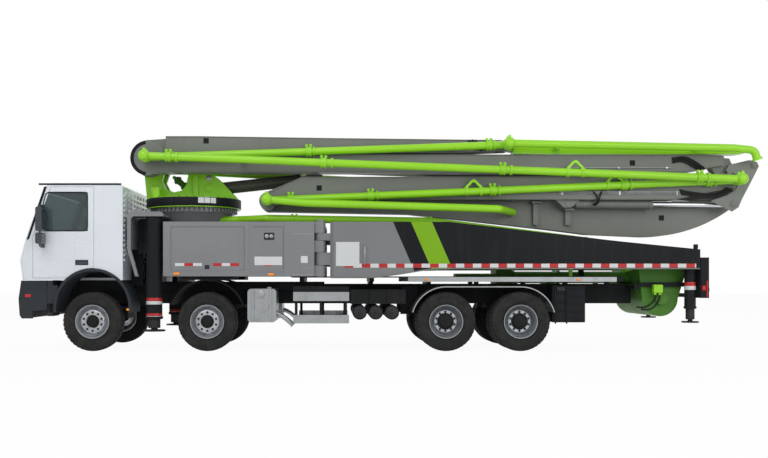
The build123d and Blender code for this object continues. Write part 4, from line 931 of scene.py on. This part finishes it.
def makePipeCollars():
    pattern = makeCollarPair()
    for label, pipe in pipes.items():
        (x0, z0), (x1, z1) = pipeEnds(pipe)
        turn = Matrix.Rotation(-math.atan2(z1 - z0, x1 - x0), 4, "Y")
        runSet = []
        for number, share in enumerate(pipe["collars"]):
            x, z = pipePoint(pipe, share)
            place = Matrix.Translation((x, pipe["depth"], z)) @ turn
            runSet.append(copyOf(pattern, f"collar{label}{number}", place))
        finished(merged("pipeCollars" + label, runSet), "lime", pipe["body"])
    bpy.data.objects.remove(pattern)


def makeElbows():
    # rounded swivel ends where the pipes pass from one section to the next
    for key, body in (("front", "boom_2"), ("upperFront", "boom_4"), ("upperRear", "boom_4"),
                      ("tip", "boom_6")):
        x, z = boomPins[key]
        deselectAll()
        bpy.ops.mesh.primitive_uv_sphere_add(segments=32, ring_count=16, radius=elbow["radius"],
                                             location=(x, elbow["outerFace"], z),
                                             rotation=(math.pi / 2, 0, 0))
        dome = bpy.context.object
        dome.scale = (1, 1, elbow["bulge"] / elbow["radius"])
        settle(dome)
        smoothed(dome, 60)
        bands = [disc("elbowBand", elbow["bandRadius"], elbow["bandWidth"], (x, depth, z), (0, 1, 0), 32,
                      0.006) for depth in elbow["bands"]]
        lugs = [slab("elbowLug", (0.05, 0.03, 0.05), (x, depth, z + elbow["bandRadius"] + 0.012), 0.006)
                for depth in elbow["bands"]]
        finished(merged("elbow" + key.title(), [dome] + bands + lugs), "lime", body)


def makeArchBrackets():
    for number, (label, x) in enumerate(archPlaces):
        pipe = pipes[label]
        z = pipeHeight(pipe, x)
        outline = [(x + dx, z + dz) for dx, dz in archOutline]
        arch = prism("arch", outline, pipe["depth"] - 0.035, pipe["depth"] + 0.035, 0.010, 3)
        feet = [slab("archFoot", (0.075, 0.11, 0.05), (x + shift, pipe["depth"], z + 0.05), 0.008)
                for shift in archFeet]
        bands = [disc("archBand", 0.086, 0.05, (x + shift, pipe["depth"], z), (1, 0, 0), 28, 0.005)
                 for shift in archFeet]
        crown = disc("archEye", 0.030, 0.085, (x, pipe["depth"], z + 0.195), (0, 1, 0), 20, 0.004)
        finished(merged(f"archBracket{number + 1}", [smoothed(arch, 30), crown] + feet + bands), "lime",
                 pipe["body"])


def makeSquarePlates():
    for body, x, z, face in squarePlates:
        plate = slab("blankSquare" + body[-1], (0.098, 0.006, 0.098), (x, face - 0.0025, z), 0.002, 1)
        finished(plate, "frameBlack", body)


makePipeCollars()
makeElbows()
makeArchBrackets()
makeSquarePlates()
print("boom pipes dressed")


# turned-out flanges along the box sections: body and the line of the edge (x, z)
sectionFlanges = [
    ("boom_5", [(-4.23, 3.640), (1.20, 3.664), (2.00, 3.697)]),
    ("boom_5", [(-4.23, 3.950), (-3.60, 3.950), (-1.20, 3.915), (2.00, 3.878)]),
    ("boom_4", [(-4.50, 3.250), (-4.10, 3.296), (5.42, 3.301), (6.05, 3.412)]),
    ("boom_4", [(-4.10, 3.610), (5.60, 3.610), (6.10, 3.592)]),
    ("boom_3", [(-2.28, 2.640), (-1.83, 2.796), (5.20, 2.790), (6.18, 3.010)]),
    ("boom_3", [(-2.30, 2.915), (-1.70, 3.196), (5.70, 3.202), (6.20, 3.253)])]
flange = {"height": 0.014, "face": -0.830, "proud": 0.014}
# painted shade: a dark arc along the rounded front end of section 4
noseShadeBand = {"outer": 0.327, "inner": 0.262, "from": 98, "to": 262, "depths": (-0.838, -0.487)}
fittedHoses = [
    ("boom_5", 0.016, [((1.40, -0.845, 3.880), (1.46, -0.875, 3.780), (1.60, -0.875, 3.716),
                        (1.66, -0.840, 3.730)),
                       ((1.46, -0.845, 3.890), (1.53, -0.885, 3.795), (1.64, -0.870, 3.728),
                        (1.70, -0.840, 3.750)),
                       ((1.52, -0.845, 3.880), (1.58, -0.870, 3.800), (1.62, -0.880, 3.730),
                        (1.62, -0.840, 3.700))]),
    ("boom_4", 0.019, [((5.18, -0.842, 3.545), (5.38, -0.872, 3.565), (5.60, -0.880, 3.470),
                        (5.76, -0.852, 3.360)),
                       ((5.20, -0.842, 3.515), (5.40, -0.878, 3.530), (5.58, -0.885, 3.440),
                        (5.71, -0.852, 3.350)),
                       ((5.18, -0.842, 3.485), (5.38, -0.868, 3.495), (5.54, -0.872, 3.410),
                        (5.66, -0.850, 3.345))]),
    ("boom_3", 0.019, [((5.32, -0.842, 2.950), (5.60, -0.868, 2.905), (5.92, -0.872, 2.880),
                        (6.20, -0.846, 2.990)),
                       ((5.32, -0.842, 2.925), (5.62, -0.875, 2.870), (5.95, -0.876, 2.850),
                        (6.24, -0.846, 2.975)),
                       ((5.34, -0.842, 2.900), (5.65, -0.866, 2.838), (5.98, -0.868, 2.830),
                        (6.28, -0.846, 2.960))]),
    ("boom_3", 0.014, [((3.70, -0.842, 2.930), (3.76, -0.875, 2.860), (3.77, -0.870, 2.740),
                        (3.72, -0.800, 2.690)),
                       ((3.86, -0.842, 2.930), (3.82, -0.880, 2.850), (3.80, -0.860, 2.740),
                        (3.76, -0.800, 2.690))])]
hardLines = [("boom_3", 2.935, 3.05, 5.34), ("boom_3", 2.912, 3.05, 5.34), ("boom_3", 2.889, 3.05, 5.34),
             ("boom_4", 3.375, 3.2, 5.15), ("boom_5", 3.700, -0.5, 1.5), ("boom_5", 3.722, -0.5, 1.5)]


def makeSectionFlanges():
    groups = {}
    for body, line in sectionFlanges:
        upper = [(x, z + flange["height"]) for x, z in reversed(line)]
        piece = prism("flange", line + upper, flange["face"] - flange["proud"], flange["face"] + 0.004, 0.003,
                      1)
        groups.setdefault(body, []).append(piece)
    for body, pieces in groups.items():
        finished(merged("flanges" + body[-1], pieces), "boomGrey", body)


def makeNoseShadeBand():
    # dark sheets on both sides of section 4's front end: painted shade where the side plates round off into
    # the end
    x, z = boomPins["upperFront"]
    sweep = noseShadeBand["to"] - noseShadeBand["from"]
    turns = [math.radians(noseShadeBand["from"] + sweep * k / 20) for k in range(21)]
    outline = [(x + reach * math.cos(a), z + reach * math.sin(a))
               for reach, run in ((noseShadeBand["outer"], turns), (noseShadeBand["inner"], turns[::-1])) for a in run]
    low, high = noseShadeBand["depths"]
    skins = [prism("noseShadeSkin", outline, low, low + 0.006, 0.002, 1),
             prism("noseShadeSkin", outline, high - 0.006, high, 0.002, 1)]
    finished(merged("noseShadeBand", skins), "frameBlack", "boom_4")


def makeFittedHoses():
    for number, (body, radius, runs) in enumerate(fittedHoses):
        parts = []
        for run in runs:
            parts.append(tube("hose", run, radius, 10))
            for end, beyond in ((run[0], run[1]), (run[-1], run[-2])):
                along = Vector(beyond) - Vector(end)
                parts.append(disc("ferrule", radius * 1.35, 0.05,
                                  tuple(Vector(end) + along.normalized() * 0.02), along, 12, 0.002))
        finished(merged(f"fittedHoses{number + 1}", parts), "hoseRubber", body)
    groups = {}
    for body, z, start, end in hardLines:
        groups.setdefault(body, []).append(tube("line", [(start, -0.848, z), (end, -0.848, z)], 0.009, 8,
                                                False))
        for x in (start + 0.08, (start + end) / 2, end - 0.08):
            groups[body].append(slab("lineClip", (0.035, 0.03, 0.034), (x, -0.842, z), 0.003))
    for body, pieces in groups.items():
        finished(merged("hydraulicLines" + body[-1], pieces), "brightAluminium", body)


leverPins = {"places": [(6.299, 2.702), (6.680, 3.423)], "washerFace": -0.8560, "capFace": -0.8790,
             "boltFace": -0.884, "boltCircle": 0.026, "bolts": 3}
foldingRod = {"from": (4.870, -0.6625, 2.7128), "to": (6.215, -0.6625, 2.7026), "radius": 0.0462}


def makeFoldingRod():
    rod = tube("foldingRod", [foldingRod["from"], foldingRod["to"]], foldingRod["radius"], 24, False)
    finished(rod, "rodChrome", "boom_3")
    washers = []
    for x, z in leverPins["places"]:
        washers.append(disc("washer", 0.070, 0.010, (x, leverPins["washerFace"], z), (0, 1, 0), 28, 0.003))
        washers.append(disc("pinCap", 0.036, 0.016, (x, leverPins["capFace"], z), (0, 1, 0), 20, 0.004))
        for k in range(leverPins["bolts"]):
            turn = math.radians(90 + 120 * k)
            reach = leverPins["boltCircle"]
            place = (x + reach * math.cos(turn), leverPins["boltFace"], z + reach * math.sin(turn))
            washers.append(disc("pinBolt", 0.008, 0.012, place, (0, 1, 0), 6, 0.001))
    finished(merged("leverPinTrim", washers), "boomGrey", "boom_3")


makeSectionFlanges()
makeNoseShadeBand()
makeFittedHoses()
makeFoldingRod()
print("boom sections dressed")


# slewing ring, turret fittings and the front outriggers' recesses
ring = {"x": -3.832, "radius": 0.9095, "height": 0.172, "middle": 2.757, "bolts": 36, "boltCircle": 0.862,
        "boltHeight": 2.851, "plateHeight": 2.776, "plateTurns": (17.0, 24.4, 31.8)}
footBolts = {"xs": (-4.600, -4.450, -4.300, -4.150, -4.000, -3.850, -3.600, -3.450, -3.300, -3.150),
             "face": -0.268, "height": 2.900}
cheekBoss, cheekGauge = (-3.520, -0.268, 3.060), (-3.505, -0.270, 3.254)
recess = {"x": -4.495, "back": 0.640, "rib": 0.655, "height": 2.115, "ribXs": (-4.700, -4.290),
          "shelf": 2.020}
cheekPost = {"size": (0.100, 0.045, 0.540), "place": (-3.755, -0.285, 3.130)}
innerLink = {"from": (-4.190, 0.0, 3.270), "to": (-3.860, 0.0, 2.980), "radius": 0.060, "pinRadius": 0.034,
             "reach": 0.372}

legBands = {"front": {"tube": (-4.385, 1.090, 0.1455), "plateWhite": [(0.850, 0.910), (0.590, 0.640)],
                      "signalRed": [(0.910, 0.970), (0.640, 0.690)]},
            "rear": {"tube": (5.408, 1.0775, 0.1015), "plateWhite": [(1.115, 1.185)],
                     "signalRed": [(1.185, 1.255)]}}


def makeSlewRing():
    band = disc("slewBand", ring["radius"], ring["height"], (ring["x"], 0, ring["middle"]), (0, 0, 1), 96,
                0.010)
    bolts = []
    for k in range(ring["bolts"]):
        turn = 2 * math.pi * k / ring["bolts"]
        place = (ring["x"] + ring["boltCircle"] * math.cos(turn), ring["boltCircle"] * math.sin(turn),
                 ring["boltHeight"])
        bolts.append(disc("ringBolt", 0.018, 0.022, place, (0, 0, 1), 6, 0.002))
    finished(merged("slewBand", [band]), "frameBlack", "turret")
    finished(merged("ringBolts", bolts), "darkSteel", "turret")
    plates = []
    for lean in ring["plateTurns"]:
        turn = math.radians(lean)
        plate = slab("ringPlate", (0.108, 0.006, 0.104), (0, 0, 0), 0.002, 1)
        place = Matrix.Translation((ring["x"] + ring["radius"] * math.sin(turn),
                                    -ring["radius"] * math.cos(turn), ring["plateHeight"]))
        plate.data.transform(place @ Matrix.Rotation(turn, 4, "Z"))
        plates.append(plate)
    finished(merged("ringPlates", plates), "plateWhite", "turret")


def makeTurretFittings():
    post = slab("cheekPost", cheekPost["size"], cheekPost["place"], 0.008, 3)
    x, y, z = cheekPost["place"]
    eye = disc("postEye", 0.040, 0.060, (x, y, z + 0.215), (0, 1, 0), 24, 0.005)
    bolts = [disc("footBolt", 0.016, 0.018, (boltX, footBolts["face"], footBolts["height"]), (0, 1, 0), 6,
                  0.002) for boltX in footBolts["xs"]]
    boss = disc("cheekBoss", 0.088, 0.022, cheekBoss, (0, 1, 0), 32, 0.006)
    finished(merged("turretFittings", [post, boss, eye] + bolts), "lime", "turret")
    gauge = [disc("gaugeRim", 0.058, 0.018, cheekGauge, (0, 1, 0), 28, 0.004)]
    finished(merged("turretGauge", gauge), "brightAluminium", "turret")
    start, end = Vector(innerLink["from"]), Vector(innerLink["to"])
    link = [tube("innerLink", [tuple(start), tuple(end)], innerLink["radius"], 16, False)]
    link += [disc("linkBand", innerLink["radius"] + 0.024, 0.045, tuple(start.lerp(end, share)),
                  end - start, 24, 0.005) for share in (0.12, 0.5, 0.88)]
    link += [disc("linkPin", innerLink["pinRadius"], innerLink["reach"], tuple(place), (0, 1, 0), 20,
                  0.004) for place in (start, end)]
    # the link inside the turret takes the darker lime: painted shade for its place between the cheeks
    finished(merged("innerLink", link), "limeDustyAndShaded", "turret")


def makeOutriggerRecess():
    for label, side in sides:
        tag = label.title()
        back = slab("recessBack" + tag, (0.580, 0.010, 0.660),
                    (recess["x"], side * recess["back"], recess["height"]), 0.002, 1)
        ribs = [slab("recessRib", (0.018, 0.040, 0.600), (x, side * recess["rib"], recess["height"]), 0.003,
                     1) for x in recess["ribXs"]]
        ribs.append(slab("recessRib", (0.540, 0.040, 0.020),
                         (recess["x"], side * recess["rib"], recess["shelf"]), 0.003, 1))
        finished(merged("recess" + tag, [back] + ribs), "trimGrey", "root")
        for leg, band in legBands.items():
            x, y, radius = band["tube"]
            for kind in ("plateWhite", "signalRed"):
                pieces = [disc("legBand", radius, high - low, (x, side * y, (low + high) / 2), (0, 0, 1), 40,
                               0.001) for low, high in band[kind]]
                finished(merged(f"{leg}Leg{kind.title()}{tag}", pieces), kind, f"{leg}_outrigger_{label}")


makeSlewRing()
makeTurretFittings()
makeOutriggerRecess()
print("turret and outriggers dressed")


# tanks, exhaust, lamps and the fittings at the tail
exhaust = {"radius": 0.045, "run": [(-2.170, 1.080, 0.690), (-2.060, 1.080, 0.640), (-1.900, 1.080, 0.520),
                                    (-1.850, 1.080, 0.470)]}
tankTrim = {"cap": (-2.420, 1.040), "capDepth": 1.252, "neckDepth": 1.244, "strapXs": (-2.570, -2.250),
            "strap": (1.245, 0.846), "lip": (-1.853, 1.080, 0.474)}
airTanks = {"xs": (-0.636, -0.345, -0.050), "height": 0.706}
tailLamps = {"x": 5.698, "rimX": 5.692, "height": 1.120,
             "kinds": [(1.160, "redLens"), (1.030, "amberLens"), (0.900, "clearLens")]}
railLamps = [0.576, 3.319]
stripEnd = -1.480


def makeUnderGear():
    for label, side in sides:
        tag = label.title()
        pipe = tube("exhaustPipe", [(x, side * y, z) for x, y, z in exhaust["run"]], exhaust["radius"], 20)
        x, y, z = tankTrim["lip"]
        lip = disc("exhaustLip", exhaust["radius"] + 0.005, 0.020, (x, side * y, z), (0.7, 0, -0.7), 24,
                   0.003)
        x, z = tankTrim["cap"]
        cap = [disc("tankCap", 0.055, 0.030, (x, side * tankTrim["capDepth"], z), (0, 1, 0), 28, 0.006),
               disc("tankNeck", 0.066, 0.012, (x, side * tankTrim["neckDepth"], z), (0, 1, 0), 28, 0.003)]
        y, z = tankTrim["strap"]
        straps = [slab("tankStrap", (0.045, 0.008, 0.560), (x, side * y, z), 0.003, 1)
                  for x in tankTrim["strapXs"]]
        finished(merged("tankTrim" + tag, [pipe, lip] + cap + straps), "brightAluminium", "root")
        ends = []
        for x in airTanks["xs"]:
            ends.append(disc("airTankEnd", 0.112, 0.030, (x, side * 1.208, airTanks["height"]),
                             (0, 1, 0), 36, 0.012))
            ends.append(disc("airTankPort", 0.026, 0.040, (x, side * 1.222, airTanks["height"]),
                             (0, 1, 0), 16, 0.004))
        finished(merged("airTankEnds" + tag, ends), "darkSteel", "root")


def makeTail():
    for label, side in sides:
        tag = label.title()
        for number, (across, kind) in enumerate(tailLamps["kinds"]):
            place = (tailLamps["x"], side * across, tailLamps["height"])
            lens = disc("tailLens", 0.052, 0.026, place, (1, 0, 0), 32, 0.008)
            finished(merged(f"tailLens{number + 1}{tag}", [lens]), kind, "root")
        rims = [disc("lampRim", 0.062, 0.014, (tailLamps["rimX"], side * across, tailLamps["height"]),
                     (1, 0, 0), 32, 0.004) for across, _ in tailLamps["kinds"]]
        finished(merged("tailLampRims" + tag, rims), "trimGrey", "root")
        marks = [slab("sideMark", (0.060, 0.014, 0.085), (5.595, side * 1.244, 1.150), 0.005),
                 slab("sideEdge", (0.022, 0.008, 0.290), (5.655, side * 1.242, 1.135), 0.002)]
        finished(merged("tailMarks" + tag, marks), "redLens", "root")
        lamps = [slab("railLamp", (0.075, 0.020, 0.036), (x, side * 1.258, 1.300), 0.008, 3)
                 for x in railLamps]
        lamps.append(slab("archLamp", (0.050, 0.018, 0.040), (-4.830, side * 1.262, 0.760), 0.006, 3))
        finished(merged("railLamps" + tag, lamps), "amberLens", "root")
        reflector = slab("bumperReflector" + tag, (0.105, 0.012, 0.052), (-6.640, side * 1.248, 1.010), 0.004)
        finished(reflector, "redLens", "root")
        hook = slab("armHook", (0.075, 0.050, 0.085), (5.455, side * 1.215, 1.900), 0.012, 3)
        finished(merged("armHook" + tag, [hook]), "frameBlack", f"rear_outrigger_{label}")
        # the strips stop short of the turned arm
        lines = [(x0, min(x1, stripEnd), z) for x0, x1, z in armEdge["hingeLines"] if x0 < stripEnd - 0.050]
        strips = [slab("hingeStrip", (x1 - x0, 0.006, 0.012), ((x0 + x1) / 2, side * 1.252, z), 0.002, 1)
                  for x0, x1, z in lines]
        finished(merged("hingeStrips" + tag, strips), "brightAluminium", "root")


valve = {"x": 4.860, "y": -0.945, "z": 1.135, "hoses": ((4.815, 0.80), (4.905, 0.76))}


def makeValveBlock():
    # the grease and oil block on the hopper's left side, with its two hoses
    x, y, z = (valve[axis] for axis in "xyz")
    block = [slab("valveBlock", (0.170, 0.110, 0.150), (x, y, z), 0.012, 3),
             slab("valveSeat", (0.120, 0.060, 0.110), (x, y + 0.040, z), 0.006)]
    block += [disc("valvePort", 0.028, 0.050, (hoseX, y, z - 0.090), (0, 0, 1), 16, 0.004)
              for hoseX, _ in valve["hoses"]]
    finished(merged("valveBlock", block), "lime", "root")
    hoses = [tube("valveHose", [(x, -0.945, 1.040), (x - 0.020, -0.955, 0.930), (x - 0.170, -0.940, drop),
                                (x - 0.330, -0.900, drop - 0.010)], 0.017, 10) for x, drop in valve["hoses"]]
    finished(merged("valveHoses", hoses), "hoseRubber", "root")


toolBox = {"from": 2.880, "to": 3.480, "low": 0.520, "high": 1.190, "face": 1.130, "deep": 0.330, "ribs": 5,
           "rungs": 4}
darkFillers = [((-4.900, -1.300), (1.100, 1.262), 0.470), ((-4.985, -4.700), (1.180, 1.960), 0.560),
               ((0.150, 0.480), (0.650, 1.180), 0.520), ((-5.950, -4.950), (1.090, 1.420), 0.470)]


def makeDarkGear():
    # the black boxes behind the rear wheels and the frame's dark side plates
    width = toolBox["to"] - toolBox["from"]
    height = toolBox["high"] - toolBox["low"]
    for label, side in sides:
        tag = label.title()
        across = side * (toolBox["face"] - toolBox["deep"] / 2)
        box = [slab("toolBox", (width, toolBox["deep"], height),
                    (toolBox["from"] + width / 2, across, toolBox["low"] + height / 2), 0.020, 3)]
        for k in range(toolBox["ribs"]):
            z = toolBox["low"] + 0.060 + k * (height - 0.120) / (toolBox["ribs"] - 1)
            box.append(slab("boxRib", (width * 0.42, 0.014, 0.022),
                            (toolBox["to"] - width * 0.26, side * (toolBox["face"] + 0.004), z), 0.003, 1))
        for x in (toolBox["from"] + 0.050, toolBox["from"] + 0.255):
            place = (x, side * (toolBox["face"] + 0.012), toolBox["low"] + height / 2 - 0.020)
            box.append(slab("stepPost", (0.026, 0.030, height), place, 0.004, 1))
        for k in range(toolBox["rungs"]):
            z = toolBox["low"] + 0.050 + k * 0.165
            place = (toolBox["from"] + 0.152, side * (toolBox["face"] + 0.014), z)
            box.append(slab("stepRung", (0.205, 0.026, 0.020), place, 0.004, 1))
        for (x0, x1), (z0, z1), y in darkFillers:
            box.append(slab("darkPlate", (x1 - x0, 0.020, z1 - z0), ((x0 + x1) / 2, side * y, (z0 + z1) / 2),
                            0.004, 1))
        finished(merged("toolBox" + tag, box), "frameBlack", "root")
        cap = slab("stepCap" + tag, (0.150, 0.034, 0.075),
                   (toolBox["from"] + 0.152, side * (toolBox["face"] + 0.006), 1.130), 0.008, 3)
        finished(cap, "trimGrey", "root")


makeUnderGear()
makeDarkGear()
makeTail()
makeValveBlock()
print("underside and tail dressed")


# the windscreen's dark edge and the step panel below the doors
screenEdge = {"outline": [(-6.352, 2.985), (-6.672, 2.018), (-6.622, 2.040), (-6.300, 2.985)],
              "depths": (1.190, 1.2385)}
stepPanel = {"size": (0.450, 0.022, 0.330), "place": (-6.330, 1.226, 1.030)}


def makeCabEdges():
    for label, side in sides:
        low, high = sorted(side * depth for depth in screenEdge["depths"])
        edge = prism("screenEdge" + label.title(), screenEdge["outline"], low, high, 0.004, 1)
        finished(edge, "frameBlack", "root")
        x, y, z = stepPanel["place"]
        panel = slab("stepPanel" + label.title(), stepPanel["size"], (x, side * y, z), 0.010, 2)
        finished(panel, "trimGrey", "root")


makeCabEdges()
print("cab edges set")


# floor, lights and camera

studio = {"floorSize": 120.0, "worldLight": 0.5, "keyPower": 1050.0, "fillPower": 480.0, "floorGlow": 0.95}


def seenDirectly(tree):
    # 1 for what the camera sees itself, in a reflection or through glass
    rays = tree.nodes.new("ShaderNodeLightPath")
    seen = mathNode(tree, "ADD", rays.outputs["Is Camera Ray"], rays.outputs["Is Glossy Ray"], True)
    return mathNode(tree, "ADD", seen, rays.outputs["Is Transmission Ray"], True)


def mixedShader(tree, factor, first, second, outputType):
    mix = tree.nodes.new("ShaderNodeMixShader")
    for socket, value in zip(mix.inputs, (factor, first.outputs[0], second.outputs[0])):
        tree.links.new(value, socket)
    output = next(n for n in tree.nodes if n.type == outputType)
    tree.links.new(mix.outputs[0], output.inputs["Surface"])


def makeFloor():
    bpy.ops.object.select_all(action="DESELECT")
    bpy.ops.mesh.primitive_plane_add(size=studio["floorSize"], location=(0, 0, -0.002))
    floor = bpy.context.object
    floor.name = "studioFloor"
    material, tree, shader = startMaterial("paleFloor")
    setValues(shader, {"Base Color": (0.86, 0.86, 0.86, 1), "Roughness": 0.9, "Specular IOR Level": 0.1})
    glow = tree.nodes.new("ShaderNodeEmission")
    setValues(glow, {"Color": (1, 1, 1, 1), "Strength": 1.0})
    seen = mathNode(tree, "MULTIPLY", seenDirectly(tree), studio["floorGlow"])
    mixedShader(tree, seen, shader, glow, "OUTPUT_MATERIAL")
    floor.data.materials.append(material)
    return floor


def makeWorld():
    world = bpy.data.worlds.new("paleRoom")
    bpy.context.scene.world = world
    world.use_nodes = True
    tree = world.node_tree
    back = next(n for n in tree.nodes if n.type == "BACKGROUND")
    setValues(back, {"Color": (1, 1, 1, 1), "Strength": studio["worldLight"]})
    shown = tree.nodes.new("ShaderNodeBackground")
    setValues(shown, {"Color": (1, 1, 1, 1), "Strength": 1.0})
    mixedShader(tree, seenDirectly(tree), back, shown, "OUTPUT_WORLD")


def makeAreaLight(name, place, aim, size, power):
    deselectAll()
    bpy.ops.object.light_add(type="AREA", location=place)
    lamp = bpy.context.object
    lamp.name = name
    lamp.data.shape = "RECTANGLE"
    lamp.data.size, lamp.data.size_y = size
    lamp.data.energy = power
    lamp.rotation_euler = (Vector(aim) - Vector(place)).to_track_quat("-Z", "Y").to_euler()
    return lamp


def makeCamera():
    deselectAll()
    bpy.ops.object.camera_add(location=(-1.045, -17.15, 1.30), rotation=(math.pi / 2, 0, 0))
    camera = bpy.context.object
    camera.data.sensor_width = 36.0
    camera.data.lens = 41.2
    camera.data.shift_x = 0.061
    camera.data.shift_y = 0.066
    camera.data.clip_end = 300.0
    bpy.context.scene.camera = camera
    return camera


floorPiece = makeFloor()
makeWorld()
lights = [
    makeAreaLight("keyLight", (-7.0, -14.0, 13.0), (0, 0, 1.5), (12.0, 8.0), studio["keyPower"]),
    makeAreaLight("fillLight", (9.0, -13.0, 6.0), (1, 0, 1.5), (10.0, 6.0), studio["fillPower"]),
    makeAreaLight("backLight", (2.0, 14.0, 12.0), (0, 0, 1.5), (12.0, 8.0), studio["fillPower"]),
]
makeCamera()
bpy.context.scene.view_settings.view_transform = "Standard"
print("studio ready")
